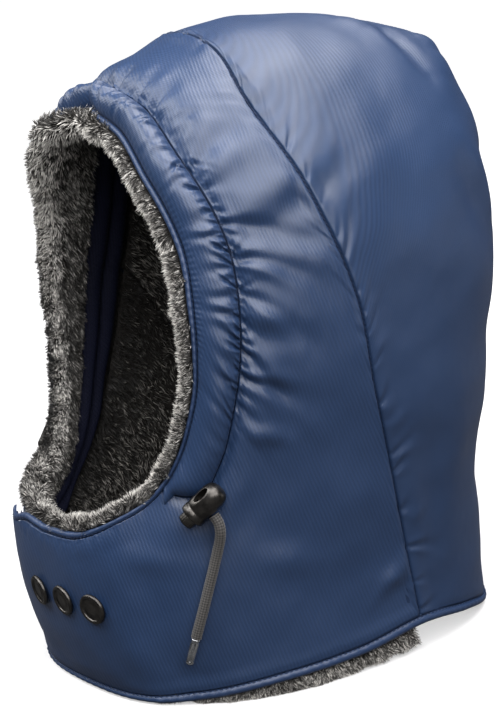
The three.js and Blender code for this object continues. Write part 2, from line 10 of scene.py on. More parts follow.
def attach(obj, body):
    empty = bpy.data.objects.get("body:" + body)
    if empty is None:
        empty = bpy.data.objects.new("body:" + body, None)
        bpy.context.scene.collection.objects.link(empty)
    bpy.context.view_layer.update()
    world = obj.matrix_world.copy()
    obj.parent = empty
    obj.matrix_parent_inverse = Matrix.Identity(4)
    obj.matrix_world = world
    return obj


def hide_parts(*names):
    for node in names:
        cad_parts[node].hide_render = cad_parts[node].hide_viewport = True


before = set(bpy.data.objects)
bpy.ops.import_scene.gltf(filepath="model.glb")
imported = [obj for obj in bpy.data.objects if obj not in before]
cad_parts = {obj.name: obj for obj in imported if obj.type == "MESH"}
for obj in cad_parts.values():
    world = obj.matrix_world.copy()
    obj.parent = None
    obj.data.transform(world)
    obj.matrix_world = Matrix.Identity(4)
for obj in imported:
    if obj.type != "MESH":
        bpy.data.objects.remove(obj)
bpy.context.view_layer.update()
MM = 0.001
BODY = "hood"
PHOTO_HEIGHT = 707
PX_PER_MM = 2.05
DISTANCE = 1050
LEAN = math.radians(6)
PLAN_SHIFT = -15.6


# The camera
VIEW_AZIMUTH, VIEW_ELEVATION = math.radians(60), math.radians(11)
AIM_HEIGHT = 142
AIM_SHIFT_PX = (-3, -3.5)
SENSOR = 36


def add_camera():
    """The photograph's view: the hood leans back on its hem, and the camera with it."""
    lean = Matrix.Rotation(-LEAN, 3, "X")
    back = lean @ Vector((
        math.sin(VIEW_AZIMUTH) * math.cos(VIEW_ELEVATION),
        -math.cos(VIEW_AZIMUTH) * math.cos(VIEW_ELEVATION),
        math.sin(VIEW_ELEVATION),
    ))
    right = lean @ Vector((math.cos(VIEW_AZIMUTH), math.sin(VIEW_AZIMUTH), 0))
    up = back.cross(right)
    aim = lean @ Vector((0, 0, AIM_HEIGHT)) + Vector((0, PLAN_SHIFT, 0))
    aim += right * (AIM_SHIFT_PX[0] / PX_PER_MM) + up * (AIM_SHIFT_PX[1] / PX_PER_MM)
    data = bpy.data.cameras.new("camera")
    data.sensor_fit = "VERTICAL"
    data.sensor_width = SENSOR
    data.sensor_height = SENSOR
    data.lens = PX_PER_MM * DISTANCE / PHOTO_HEIGHT * SENSOR
    data.clip_start = 0.01
    data.clip_end = 20
    camera = bpy.data.objects.new("camera", data)
    bpy.context.scene.collection.objects.link(camera)
    turn = Matrix((right, up, back)).transposed()
    camera.matrix_world = Matrix.Translation((aim + back * DISTANCE) * MM) @ turn.to_4x4()
    bpy.context.scene.camera = camera


# Node materials
def material(name):
    made = bpy.data.materials.new(name)
    made.use_nodes = True
    return made, made.node_tree, made.node_tree.nodes["Principled BSDF"]


def feed(tree, target, inputs):
    """Links each socket and sets each constant on the input that it is named for."""
    for socket, value in inputs.items():
        if isinstance(value, bpy.types.NodeSocket):
            tree.links.new(value, target.inputs[socket])
        else:
            target.inputs[socket].default_value = value


def node(tree, kind, inputs=None, **settings):
    made = tree.nodes.new(kind)
    for key, value in settings.items():
        setattr(made, key, value)
    feed(tree, made, inputs or {})
    return made


def math_node(tree, operation, *values):
    return node(tree, "ShaderNodeMath", dict(enumerate(values)), operation=operation).outputs[0]


def about_half(tree, value, amount, centre):
    """How far the value is from a half, times the amount, plus the centre."""
    return math_node(tree, "MULTIPLY_ADD", math_node(tree, "SUBTRACT", value, 0.5), amount, centre)


def colour_mix(tree, factor, first, second):
    return node(tree, "ShaderNodeMix", {0: factor, 6: first, 7: second}, data_type="RGBA").outputs[2]


def noise(tree, vector, scale, detail=3.0, roughness=0.5):
    return node(tree, "ShaderNodeTexNoise", {
        "Vector": vector, "Scale": scale, "Detail": detail, "Roughness": roughness}).outputs["Fac"]


def ramp(tree, factor, stops):
    made = node(tree, "ShaderNodeValToRGB", {"Fac": factor})
    elements = made.color_ramp.elements
    while len(elements) < len(stops):
        elements.new(0.5)
    for element, (place, colour) in zip(elements, stops):
        element.position = place
        element.color = colour
    return made.outputs["Color"]


def bump(tree, height, distance, strength, below=None):
    inputs = {"Height": height, "Distance": distance, "Strength": strength}
    if below is not None:
        inputs["Normal"] = below
    return node(tree, "ShaderNodeBump", inputs).outputs["Normal"]


def object_place(tree):
    return node(tree, "ShaderNodeTexCoord").outputs["Object"]


def map_place(tree, name):
    """The two directions of the mesh's own map, as outputs X and Y."""
    place = node(tree, "ShaderNodeUVMap", uv_map=name).outputs["UV"]
    return node(tree, "ShaderNodeSeparateXYZ", {"Vector": place}).outputs


def rgba(red, green, blue):
    return (red, green, blue, 1.0)


THREAD_PITCH = 0.0005


def twill(name, light, dark, rib=0.0016, contrast=0.75, roughness=0.40, sheen=0.03, gloss=0.60):
    """Woven cloth: ribs along the map's second direction, threads across, slow changes."""
    made, tree, shader = material(name)
    split, at = map_place(tree, "cloth"), object_place(tree)
    slow = noise(tree, at, 26.0, 3.0)
    drift = math_node(tree, "MULTIPLY", noise(tree, at, 55.0, 2.0), 5.0)
    across = math_node(tree, "MULTIPLY", split["Y"], 2 * math.pi / rib)
    ribs = math_node(tree, "SINE", math_node(tree, "ADD", across, drift))
    threads = math_node(tree, "SINE", math_node(tree, "MULTIPLY", split["X"], 2 * math.pi / THREAD_PITCH))
    fine = noise(tree, at, 2400.0, 2.0, 0.7)
    weave = math_node(tree, "MULTIPLY_ADD", ribs, 0.36, 0.5)
    tone = about_half(tree, slow, 0.9, about_half(tree, fine, 0.5, weave))
    height = math_node(tree, "MULTIPLY_ADD", ribs, 0.5, 0.5)
    ribbed = bump(tree, height, 0.00005, 0.8)
    threaded = bump(tree, threads, 0.00003, 0.6, ribbed)
    feed(tree, shader, {
        "Base Color": colour_mix(tree, about_half(tree, tone, contrast, 0.5), dark, light),
        "Roughness": about_half(tree, slow, 0.18, roughness),
        "Normal": bump(tree, fine, 0.00006, 0.5, threaded),
        "Sheen Weight": sheen,
        "Sheen Roughness": 0.45,
        "Sheen Tint": rgba(0.62, 0.68, 1.0),
        "Specular IOR Level": gloss,
    })
    return made


def fur_skin(name, dark, light):
    """The backing under the pile, mottled like its roots."""
    made, tree, shader = material(name)
    at = object_place(tree)
    tufts = noise(tree, at, 420.0, 4.0, 0.65)
    fine = noise(tree, at, 1900.0, 2.0, 0.6)
    tone = math_node(tree, "MULTIPLY", tufts, fine)
    feed(tree, shader, {
        "Base Color": ramp(tree, tone, [(0.12, dark), (0.42, light)]),
        "Normal": bump(tree, tufts, 0.002, 0.8, bump(tree, fine, 0.0008, 0.7)),
        "Roughness": 0.9,
        "Specular IOR Level": 0.15,
    })
    return made


def hair(name, root, middle, tip):
    """Pile hairs: dark at the root, lighter to the tip, each lock with its own tone, each hair with a random
    tone plus the painted light and shade of its place.
    """
    made, tree, shader = material(name)
    split = map_place(tree, "hair")
    lock = noise(tree, object_place(tree), 210.0, 2.0)
    shade = about_half(tree, lock, 1.2, about_half(tree, split["X"], 1.0, split["Y"]))
    feed(tree, shader, {
        "Base Color": ramp(tree, shade, [(0.0, root), (0.55, middle), (1.0, tip)]),
        "Roughness": 0.52,
        "Specular IOR Level": 0.35,
        "Sheen Weight": 0.15,
    })
    return made


def metal(name, dark, light, roughness):
    made, tree, shader = material(name)
    at = object_place(tree)
    slow = noise(tree, at, 260.0, 4.0, 0.6)
    fine = noise(tree, at, 2600.0, 3.0, 0.7)
    feed(tree, shader, {
        "Base Color": ramp(tree, slow, [(0.35, dark), (0.7, light)]),
        "Roughness": about_half(tree, fine, 0.25, roughness),
        "Normal": bump(tree, fine, 0.00004, 0.7),
        "Metallic": 1.0,
    })
    return made


def braid(name, dark, light):
    made, tree, shader = material(name)
    split = map_place(tree, "cloth")
    over = math_node(tree, "SINE", math_node(tree, "ADD", split["X"], split["Y"]))
    under = math_node(tree, "SINE", math_node(tree, "SUBTRACT", split["X"], split["Y"]))
    cross = math_node(tree, "MULTIPLY_ADD", math_node(tree, "MULTIPLY", over, under), 0.4, 0.5)
    fine = noise(tree, object_place(tree), 3200.0, 2.0, 0.7)
    tone = about_half(tree, fine, 0.6, cross)
    feed(tree, shader, {
        "Base Color": ramp(tree, tone, [(0.15, dark), (0.85, light)]),
        "Normal": bump(tree, tone, 0.00012, 0.8),
        "Roughness": 0.72,
        "Sheen Weight": 0.2,
    })
    return made


SHELL = twill("shell_twill", rgba(0.018, 0.043, 0.109), rgba(0.010, 0.026, 0.070))
# The edge and hem binding is the shell's twill a little lighter: painted light on the bound edges.
EDGE = twill("edge_twill", rgba(0.020, 0.046, 0.116), rgba(0.011, 0.027, 0.074))
# The ribbed knit is near black: its own dark navy, darkened further as painted shade for the inside of the
# hood.
LINING = twill("ribbed_knit", rgba(0.0065, 0.008, 0.026), rgba(0.002, 0.003, 0.010), rib=0.0011,
               roughness=0.75, sheen=0.02, gloss=0.15)
THREAD = twill("thread", rgba(0.012, 0.028, 0.075), rgba(0.006, 0.014, 0.040), rib=0.0004,
               roughness=0.6, gloss=0.3)
RIM_SKIN = fur_skin("rim_backing", rgba(0.005, 0.0046, 0.0042), rgba(0.030, 0.028, 0.026))
DARK_SKIN = fur_skin("lining_backing", rgba(0.008, 0.0075, 0.007), rgba(0.06, 0.056, 0.052))
RIM_HAIR = hair("rim_pile", rgba(0.007, 0.006, 0.005), rgba(0.075, 0.071, 0.066), rgba(0.74, 0.72, 0.68))
# The lining's pile is a darker copy of the rim's: partly the lining's own darker grey, partly painted shade for
# the inside of the hood. Where the lining turns round the hem it takes the rim's pile.
DARK_HAIR = hair("lining_pile", rgba(0.005, 0.0045, 0.004), rgba(0.032, 0.030, 0.027),
                 rgba(0.34, 0.325, 0.295))
GUNMETAL = metal("gunmetal", rgba(0.055, 0.052, 0.05), rgba(0.115, 0.108, 0.10), 0.34)
SILVER = metal("crimped_silver", rgba(0.42, 0.43, 0.45), rgba(0.66, 0.67, 0.69), 0.24)
CORD = braid("cord_braid", rgba(0.010, 0.010, 0.010), rgba(0.085, 0.080, 0.076))


# Meshes
def unit(vectors):
    return vectors / np.maximum(np.linalg.norm(vectors, axis=-1, keepdims=True), 1e-9)


def run(points, axis=0):
    """Length along an axis of a line or a grid of points, from its start."""
    steps = np.linalg.norm(np.diff(points, axis=axis), axis=-1)
    first = np.zeros_like(np.take(steps, [0], axis=axis))
    return np.concatenate([first, np.cumsum(steps, axis=axis)], axis=axis)


def grid_shares(columns, rows):
    """The share along the columns and the share along the rows, at each point of a grid."""
    return np.meshgrid(np.linspace(0, 1, columns), np.linspace(0, 1, rows), indexing="ij")


def add_mesh(name, points, faces, look, maps=None, map_name="cloth", body=BODY):
    """Points in mm, maps one pair a point. The piece rides on the body."""
    data = bpy.data.meshes.new(name)
    faces = faces if isinstance(faces, list) else faces.tolist()
    data.from_pydata((np.asarray(points) * MM).tolist(), [], faces)
    if maps is not None:
        layer = data.uv_layers.new(name=map_name)
        corners = np.empty(len(data.loops), dtype=np.int32)
        data.loops.foreach_get("vertex_index", corners)
        layer.data.foreach_set("uv", np.asarray(maps, dtype=np.float32)[corners].ravel())
    data.shade_smooth()
    data.materials.append(look)
    made = bpy.data.objects.new(name, data)
    bpy.context.scene.collection.objects.link(made)
    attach(made, body)
    return made


def grid_faces(columns, rows, closed=False):
    """Quads of a grid of columns by rows of points; closed joins the last row to the first."""
    column = np.arange(columns - 1)[:, None]
    row = np.arange(rows if closed else rows - 1)[None, :]
    after = (row + 1) % rows
    here, there = column * rows, (column + 1) * rows
    return np.stack([here + row, there + row, there + after, here + after], -1).reshape(-1, 4)


def tube(points, radius, sides, relief):
    """Points, faces, maps and length of a tube along a path, with its ends closed."""
    ahead = unit(np.gradient(points, axis=0))
    side = np.cross(ahead[0], (0.3, 0.5, 0.8))
    frames = []
    for direction in ahead:
        side = unit(side - direction * side.dot(direction))
        frames.append(side)
    first = np.array(frames)
    second = np.cross(ahead, first)
    angle = np.arange(sides) * 2 * math.pi / sides
    length = run(points)[:, None]
    reach = radius + relief(length, angle[None, :])
    ring = points[:, None] + reach[..., None] * (
        first[:, None] * np.cos(angle)[None, :, None] + second[:, None] * np.sin(angle)[None, :, None])
    maps = np.stack(np.broadcast_arrays(angle[None, :] * CORD_STRANDS, length * CORD_TWIST), -1)
    faces = grid_faces(len(points), sides, closed=True).tolist()
    last = (len(points) - 1) * sides
    faces.append(list(range(sides)))
    faces.append([last + index for index in reversed(range(sides))])
    return ring.reshape(-1, 3), faces, maps.reshape(-1, 2), float(length[-1, 0])


def lathe(profile, sides, origin, axis, relief=None):
    """Points and faces of a turned form; the profile runs from axis to axis, in mm."""
    axis = Vector(axis).normalized()
    first = axis.orthogonal().normalized()
    second = axis.cross(first)
    points = []
    for radius, along in profile:
        for index in range(sides):
            angle = 2 * math.pi * index / sides
            reach = max(radius, 0.002) + (relief(angle, along) if relief else 0)
            points.append(Vector(origin) + axis * along
                          + (first * math.cos(angle) + second * math.sin(angle)) * reach)
    faces = [[f[0], f[3], f[2], f[1]] for f in grid_faces(len(profile), sides, closed=True).tolist()]
    return np.array([list(point) for point in points]), faces


# Cords
CORD_ROUTE = [
    (82.0, -73.6, 93.8), (83.2, -72.4, 90.4), (83.5, -72.0, 86.5), (82.3, -71.9, 82.4),
    (80.8, -72.4, 78.0), (79.3, -73.5, 72.5), (77.8, -75.4, 65.0), (76.3, -77.6, 57.1),
    (74.8, -79.8, 49.1), (73.0, -82.0, 41.0), (71.5, -83.4, 35.2),
]
CORD_DIAMETER = 5.0
CORD_STRANDS = 6
CORD_TWIST = 2.6


def smooth_path(points, count):
    """A Catmull-Rom line through the points, evenly spaced."""
    points = np.asarray(points, float)
    padded = np.vstack([2 * points[0] - points[1], points, 2 * points[-1] - points[-2]])
    line = []
    for index in range(len(points) - 1):
        a, b, c, d = padded[index:index + 4]
        for t in np.linspace(0, 1, 24, endpoint=False):
            line.append(0.5 * (2 * b + (c - a) * t + (2 * a - 5 * b + 4 * c - d) * t * t
                               + (3 * b - a - 3 * c + d) * t ** 3))
    line = np.array(line + [points[-1]])
    length = run(line)
    even = np.linspace(0, length[-1], count)
    return np.stack([np.interp(even, length, line[:, axis]) for axis in range(3)], -1)


def add_cord(side, sign):
    """Braided cord with its crimped metal tip, which is slit and open at the end."""
    path = smooth_path([(sign * x, y, z) for x, y, z in CORD_ROUTE], 220)

    def strands(along, angle):
        wound, turned = CORD_STRANDS * angle, CORD_TWIST * along
        return 0.22 * np.sin(wound + turned) * np.sin(wound - turned)

    points, faces, maps, length = tube(path, CORD_DIAMETER / 2 - 0.15, 48, strands)
    cord = add_mesh(f"cord_{side}", points, faces, CORD, maps)
    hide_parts(f"drawcord_{side}")

    heading = unit(path[-1] - path[-2])
    start = path[-1] + heading * 0.3
    profile = [(0, 0.0), (1.7, 0.0), (2.15, 0.35), (2.2, 1.2), (1.95, 1.6), (1.95, 2.1), (2.2, 2.5),
               (2.15, 10.6), (1.95, 11.0), (1.95, 11.4), (2.15, 11.8), (2.1, 12.7), (1.85, 13.0),
               (1.5, 13.0), (1.45, 11.6), (0, 11.5)]

    across = Vector(heading).orthogonal().normalized()
    facing = Vector((sign * 0.84, -0.52, 0.15))
    middle = math.atan2(facing.dot(Vector(heading).cross(across)), facing.dot(across)) % (2 * math.pi)

    def slit(angle, along):
        return -0.9 * math.exp(-((angle - middle) / 0.3) ** 2) if 0.5 < along < 12.6 else 0.0

    tip_points, tip_faces = lathe(profile, 40, start, heading, slit)
    tip = add_mesh(f"tip_{side}", tip_points, tip_faces, SILVER)
    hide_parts(f"cord_tip_{side}")


# The hood's surface
def smooth(start, end, at):
    share = np.clip((at - start) / (end - start), 0, 1)
    return share * share * (3 - 2 * share)


def curve(places, values, at):
    """A smooth curve through the values at those places, straight beyond its end."""
    xs, ys = np.asarray(places, float), np.asarray(values, float)
    slopes = np.empty(len(xs))
    slopes[1:-1] = (ys[2:] - ys[:-2]) / (xs[2:] - xs[:-2])
    slopes[0] = (ys[1] - ys[0]) / (xs[1] - xs[0])
    slopes[-1] = (ys[-1] - ys[-2]) / (xs[-1] - xs[-2])
    at = np.asarray(at, float)
    low = np.clip(np.searchsorted(xs, at, side="right") - 1, 0, len(xs) - 2)
    span = xs[low + 1] - xs[low]
    part = (at - xs[low]) / span
    inside = ((2 * part ** 3 - 3 * part ** 2 + 1) * ys[low]
              + (part ** 3 - 2 * part ** 2 + part) * span * slopes[low]
              + (3 * part ** 2 - 2 * part ** 3) * ys[low + 1]
              + (part ** 3 - part ** 2) * span * slopes[low + 1])
    return np.where(part > 1, ys[low + 1] + slopes[low + 1] * span * (part - 1), inside)


CROWN_HEIGHT, HALF_WIDTH, FRONT_REACH, BACK_REACH, HEM_LIFT = 304, 96, 112, 121, 10
SILL_HEIGHT, FACE_HEIGHT, FACE_HALF_WIDTH = 72, 190, 76
WALL, SEAM_GAP, LAYER_GAP, LINING_GAP = 2.4, 0.6, 1.3, 2.2
FUR_DEPTH, FUR_RISE = 10, 4
CASING_WIDTH, CASING_PUFF, BROW_PUFF, EDGE_WIDTH, HEM_WIDTH = 21, 3.5, 0.8, 3, 4
FACING_WIDTH, RIBBED_WIDTH, RIBBED_ROLL, RIBBED_WALL = 30, 24, 6, 2
FLAP_END, FLAP_RISE, FLAP_FLARE, FLAP_DROP, FLAP_DROP_END, FAR_FLARE = 0.088, 3.4, 5, 11, -0.03, 4
PANEL_SPLIT, CASING_TIP, BAND_START, STEP = 0.3, 0.06, 0.12, 0.002

# Way down from the crown, then height, width, front, back and squareness there
SECTIONS = {
    "way": [0, 0.08, 0.16, 0.25, 0.35, 0.49, 0.60, 0.70, 0.78, 0.88, 1],
    "height": [1, 0.990, 0.956, 0.874, 0.767, 0.599, 0.450, 0.319, 0.214, 0.101, 0],
    "width": [0, 0.24, 0.475, 0.705, 0.91, 1, 0.99, 0.94, 0.91, 0.90, 0.90],
    "front": [0, 0.235, 0.45, 0.745, 0.95, 0.99, 0.935, 0.90, 0.985, 0.92, 0.82],
    "back": [0, 0.44, 0.75, 0.935, 0.995, 0.98, 0.955, 0.93, 0.955, 0.99, 1.02],
    "square": [2, 2, 2, 2, 2.05, 2.30, 2.35, 2.35, 2.35, 2.35, 2.35],
}
MIRROR_SIGN = {"way": -1, "height": 1, "width": -1, "front": -1, "back": -1, "square": 1}
FORM = {name: [MIRROR_SIGN[name] * column[2], MIRROR_SIGN[name] * column[1]] + column
        for name, column in SECTIONS.items()}
OPENING = {
    "round": [0, 0.06, 0.12, 0.175, 0.23, 0.285, 0.34, 0.39, 0.435, 0.47, 0.5],
    "across": [0, 0.38, 0.67, 0.85, 0.96, 1, 0.985, 0.90, 0.70, 0.40, 0],
    "up": [0, 0.015, 0.087, 0.194, 0.327, 0.46, 0.585, 0.72, 0.845, 0.95, 1],
    "turn": [0, 21, 41, 57, 73, 89, 106, 124, 144, 162, 180],
}
HEM_TURNS = [0, 40, 70, 95, 113, 130, 150, 180]
HEM_LIFTS = [0.06, 0.12, 0.66, 0.90, 1.30, 0.75, 0, 0]
SEAM_ALONG = [0, 0.12, 0.22, 0.32, 0.42, 0.55, 0.70, 0.85, 1]
SEAM_ROUND = [0.500, 0.472, 0.450, 0.426, 0.405, 0.386, 0.369, 0.364, 0.358]
SEAM_DOWN = [0.110, 0.122, 0.144, 0.190, 0.250, 0.350, 0.490, 0.725, 1.0]
SEAM_FOOT = SEAM_ROUND[-1]
SEAM_HEM = 0.985


def form_share(column, way):
    return curve(FORM["way"], FORM[column], way)


def hem_lift(degrees):
    return HEM_LIFT * np.maximum(0, curve(HEM_TURNS, HEM_LIFTS, degrees))


def form_point(way, turn):
    side, ahead = np.sin(turn), np.cos(turn)
    square = form_share("square", way)
    reach_out = (np.abs(side) ** square + np.abs(ahead) ** square) ** (-1 / square)
    front, back = form_share("front", way) * FRONT_REACH, form_share("back", way) * BACK_REACH
    reach = np.where(ahead > 0, front, back)
    hem_front, hem_back = SECTIONS["front"][-1] * FRONT_REACH, SECTIONS["back"][-1] * BACK_REACH
    hem_reach = np.where(ahead > 0, hem_front, hem_back)
    degrees = np.degrees(np.abs(np.arctan2(side, ahead)))
    hem = hem_lift(degrees) - hem_reach * ahead * reach_out * math.sin(LEAN)
    x = form_share("width", way) * HALF_WIDTH * side * reach_out
    y = -reach * ahead * reach_out
    z = form_share("height", way) * CROWN_HEIGHT
    return np.stack([
        x, y * math.cos(LEAN) + z * math.sin(LEAN) + PLAN_SHIFT,
        -y * math.sin(LEAN) + z * math.cos(LEAN) + hem * smooth(0.6, 1, way)], -1)


def half_round(at):
    wrapped = at - np.floor(at)
    return np.where(wrapped <= 0.5, wrapped, 1 - wrapped), np.where(wrapped <= 0.5, 1, -1)


def exact_ends(at):
    half, side = half_round(at)
    across = curve(OPENING["round"], OPENING["across"], half) * FACE_HALF_WIDTH
    height = SILL_HEIGHT + curve(OPENING["round"], OPENING["up"], half) * FACE_HEIGHT
    ways = np.linspace(0, 1, 4001)
    way = np.interp(-height, -form_share("height", ways) * CROWN_HEIGHT, ways)
    share = np.minimum(across / (form_share("width", way) * HALF_WIDTH), 0.99)
    square = form_share("square", way)
    turn = np.arctan2(share, (1 - share ** square) ** (1 / square))
    hem = np.radians(curve(OPENING["round"], OPENING["turn"], half))
    return [side * way * np.sin(turn), way * np.cos(turn), side * np.sin(hem), np.cos(hem)]


ROUNDS = np.linspace(-0.3, 1.3, 6401)
ENDS = exact_ends(ROUNDS)


def face_point(at, down):
    """The outer face, by the place round the opening and the share of the way down to the hem."""
    from_x, from_y, to_x, to_y = [np.interp(at, ROUNDS, column) for column in ENDS]
    across, ahead = from_x + (to_x - from_x) * down, from_y + (to_y - from_y) * down
    return form_point(np.hypot(across, ahead), np.arctan2(across, ahead))


def flap_rise(at):
    return (FLAP_RISE * (1 - smooth(FLAP_END + 0.004, FLAP_END + 0.05, at))
            + FLAP_FLARE * (1 - smooth(-FLAP_END, FLAP_END * 0.6, at))
            + FAR_FLARE * smooth(0.84, 0.90, at) * (1 - smooth(0.91, 1.01, at)))


def flap_drop(at):
    return FLAP_DROP * (1 - smooth(-FLAP_END, FLAP_DROP_END, at))


def seam_at(along):
    """The seam round the back panel: its place round the opening and its share of the way down."""
    return curve(SEAM_ALONG, SEAM_ROUND, along), curve(SEAM_ALONG, SEAM_DOWN, along)


def along_round(at, down):
    return (face_point(at + STEP, down) - face_point(at - STEP, down)) / (2 * STEP)


def along_down(at, down):
    return (face_point(at, down + STEP) - face_point(at, down - STEP)) / (2 * STEP)


def shell(at, down):
    """Points of the outer face with the flap's rise, and the face's normals."""
    at, down = np.broadcast_arrays(np.asarray(at, float), np.asarray(down, float))
    normal = unit(np.cross(along_down(at, down), along_round(at, down)))
    return face_point(at, down) + normal * flap_rise(at)[..., None], normal


def down_share(at, length):
    at = np.asarray(at, float)
    return length / np.linalg.norm(along_down(at, np.full_like(at, 0.02)), axis=-1)


def hem_share(at, length):
    at = np.asarray(at, float)
    return length / np.linalg.norm(along_down(at, np.full_like(at, 0.98)), axis=-1)


def hem_down(at):
    return 1 - hem_share(at, HEM_WIDTH + SEAM_GAP)


def start_round(part):
    half = 2 * np.minimum(part, 1 - part)
    low = -FLAP_END + (PANEL_SPLIT + FLAP_END) * half / 0.5
    high = PANEL_SPLIT + (0.5 - PANEL_SPLIT) * (half / 0.5 - 1)
    at = np.where(half < 0.5, low, high)
    return np.where(part <= 0.5, at, 1 - at)


# Half of the seam's gap, as a share round the opening
SEAM_HALF = 0.0008
PANEL_COLUMNS, CASING_COLUMN, FULL_COLUMN = 64, 10, 12
CASING_PART = CASING_COLUMN / PANEL_COLUMNS
CASING_END, CASING_FULL = [
    float(start_round(np.array(column / PANEL_COLUMNS))) for column in (CASING_COLUMN, FULL_COLUMN)]


def casing_taper(at):
    half, _ = half_round(at)
    taper = CASING_TIP + (1 - CASING_TIP) * np.clip((half - CASING_END) / (CASING_FULL - CASING_END), 0, 1)
    return np.where(half < CASING_END - 1e-6, 0, taper)


def casing_width(at):
    half, _ = half_round(at)
    return CASING_WIDTH * curve([0.20, 0.29, 0.38, 0.44, 0.50], [1.20, 1.05, 0.90, 0.75, 0.62],
                                np.maximum(half, 0.17))


def facing_width(at):
    half, _ = half_round(at)
    return FACING_WIDTH * curve([0, 0.17, 0.25, 0.34, 0.42, 0.50],
                                [0.80, 0.55, 0.72, 0.90, 1.20, 1.45], half)


def panel_start(at):
    taper = casing_taper(at)
    behind = np.where(taper > 0, casing_width(at) * taper + SEAM_GAP, 0)
    return down_share(at, EDGE_WIDTH + SEAM_GAP + flap_drop(at) + behind)


# Folds and puckers
class Ripple:
    """Smooth seeded noise in space: a sum of sines, about -1 to 1, with a wavelength in mm."""

    def __init__(self, seed, wavelength, count=14):
        source = np.random.default_rng(seed)
        direction = unit(source.normal(size=(count, 3)))
        self.wave = direction * 2 * math.pi / (wavelength * source.uniform(0.7, 1.5, (count, 1)))
        self.phase = source.uniform(0, 2 * math.pi, count)

    def __call__(self, points):
        total = 0
        for wave, phase in zip(self.wave, self.phase):
            total = total + np.sin(points @ wave + phase)
        return total / math.sqrt(len(self.phase) * 2)


def seam_folds(seed, length, spacing, depth, reach, wide):
    """Folds that start at a seam: place along it, depth, width, reach and slant."""
    source = np.random.default_rng(seed)
    folds, at = [], 6.0
    while at < length - 6:
        folds.append((at, depth * source.uniform(0.25, 1) ** 1.2, source.uniform(*wide),
                      source.uniform(*reach), source.normal(0, 0.3)))
        at += source.uniform(*spacing)
    return folds


def fold_relief(along, away, folds):
    total = np.zeros_like(along)
    for place, depth, width, reach, slant in folds:
        wide = width * (0.45 + 0.9 * np.clip(away / reach, 0, 1.6))
        offset = (along - place - slant * away) / wide
        near = np.abs(offset) < 4
        fade = depth * np.exp(-1.4 * (away[near] / reach) ** 2)
        at = offset[near]
        total[near] += fade * (-np.exp(-at * at) + 0.5 * np.exp(-(at - 1.6) ** 2)
                               + 0.4 * np.exp(-(at + 1.6) ** 2))
    return total


# Soft folds in the panels: both ends on the surface, width, and height out of it or into it
SOFT_FOLDS = [
    ((64, -61, 249), (68, -28, 268), 5, -1.8),
    ((68, -57, 242), (74, -30, 258), 6, 1.4),
    ((79, -57, 217), (87, -32, 220), 6, -2.4),
    ((87, -32, 220), (87, 5, 239), 8, -2.6),
    ((80, -50, 228), (84, -8, 240), 8, 1.8),
    ((84, -48, 213), (93, -7, 210), 6, -2.2),
    ((82, -56, 206), (92, -18, 202), 7, 1.6),
    ((86, -55, 185), (94, -28, 176), 6, 1.6),
    ((87, -54, 176), (95, -24, 166), 7, -1.5),
    ((85, -56, 130), (90, -36, 122), 4, 1.3),
    ((90, 34, 213), (92, 30, 150), 16, -1.6),
    ((71, 77, 234), (67, 96, 182), 9, -2.2),
    ((60, 84, 236), (52, 106, 190), 8, 1.8),
    ((44, 82, 266), (26, 75, 288), 6, -3.6),
    ((12, 80, 291), (30, 75, 286), 6, -2.6),
    ((8, 100, 281), (22, 104, 272), 10, 3.4),
    ((40, 96, 262), (24, 98, 275), 9, 1.6),
    ((12, 52, 297), (26, 64, 291), 10, 2.2),
    ((52, 112, 226), (34, 116, 214), 9, -3.6),
    ((52, 92, 72), (36, 100, 62), 12, -2.5),
    ((88, 2, 32), (82, 30, 52), 5, 1.6),
    ((96, 4, 152), (95, 18, 160), 3.5, 0.9),
    ((94, 12, 114), (91, 24, 122), 3.5, 0.9),
    ((91, 17, 98), (88, 30, 106), 3.5, 0.9),
    ((86, 20, 64), (82, 36, 72), 3.5, 0.9),
    ((89, -54, 132), (87, -38, 123), 4, 1.0),
    ((83, 62, 118), (82, 66, 60), 12, 1.6),
    ((87, 41, 104), (84, 44, 50), 9, -1.5),
    ((82, -57, 69), (87, -18, 60), 8, 1.6),
    ((52, -105, 73), (70, -84, 70), 6, 1.0),
    ((86, 5, 44), (84, 27, 40), 5, 1.2),
    ((-64, -61, 249), (-70, -28, 264), 6, -1.8),
    ((-79, -57, 217), (-88, -20, 226), 7, -2.2),
    ((-84, -48, 200), (-93, -10, 196), 8, 1.6),
    ((-86, -55, 160), (-94, -28, 150), 6, 1.6),
    ((-71, 77, 220), (-67, 92, 170), 10, -2.0),
    ((-83, 62, 118), (-82, 66, 60), 12, 1.6),
]


def soft_relief(points):
    total = np.zeros(points.shape[:-1])
    for start, end, width, height in SOFT_FOLDS:
        start, end = np.array(start, float), np.array(end, float)
        line = end - start
        share = np.clip(((points - start) @ line) / (line @ line), 0, 1)
        away = np.linalg.norm(points - start - share[..., None] * line, axis=-1)
        swell = 0.3 + 0.7 * np.sin(math.pi * np.clip(share, 0.05, 0.95))
        total += height * np.exp(-(away / width) ** 2) * swell
    return total


SLOW_RIPPLE = Ripple(3, 75)
MID_RIPPLE = Ripple(5, 26)
FINE_RIPPLE = Ripple(8, 7)


def cloth_relief(points):
    waved = 1.5 * SLOW_RIPPLE(points) + 0.38 * MID_RIPPLE(points) + 0.04 * FINE_RIPPLE(points)
    return waved + soft_relief(points)


def sharp_dip(away, depth, width):
    """A narrow valley along a seam."""
    return -depth * np.exp(-(away / width) ** 2)


RIB_WAY = unit(np.array([0.45, 0.85, 0.28]))
RIB_ACROSS = unit(np.cross(RIB_WAY, (1.0, 0.0, 0.0)))


def plane_maps(points):
    return np.stack([points @ RIB_ACROSS, points @ RIB_WAY], -1) * MM


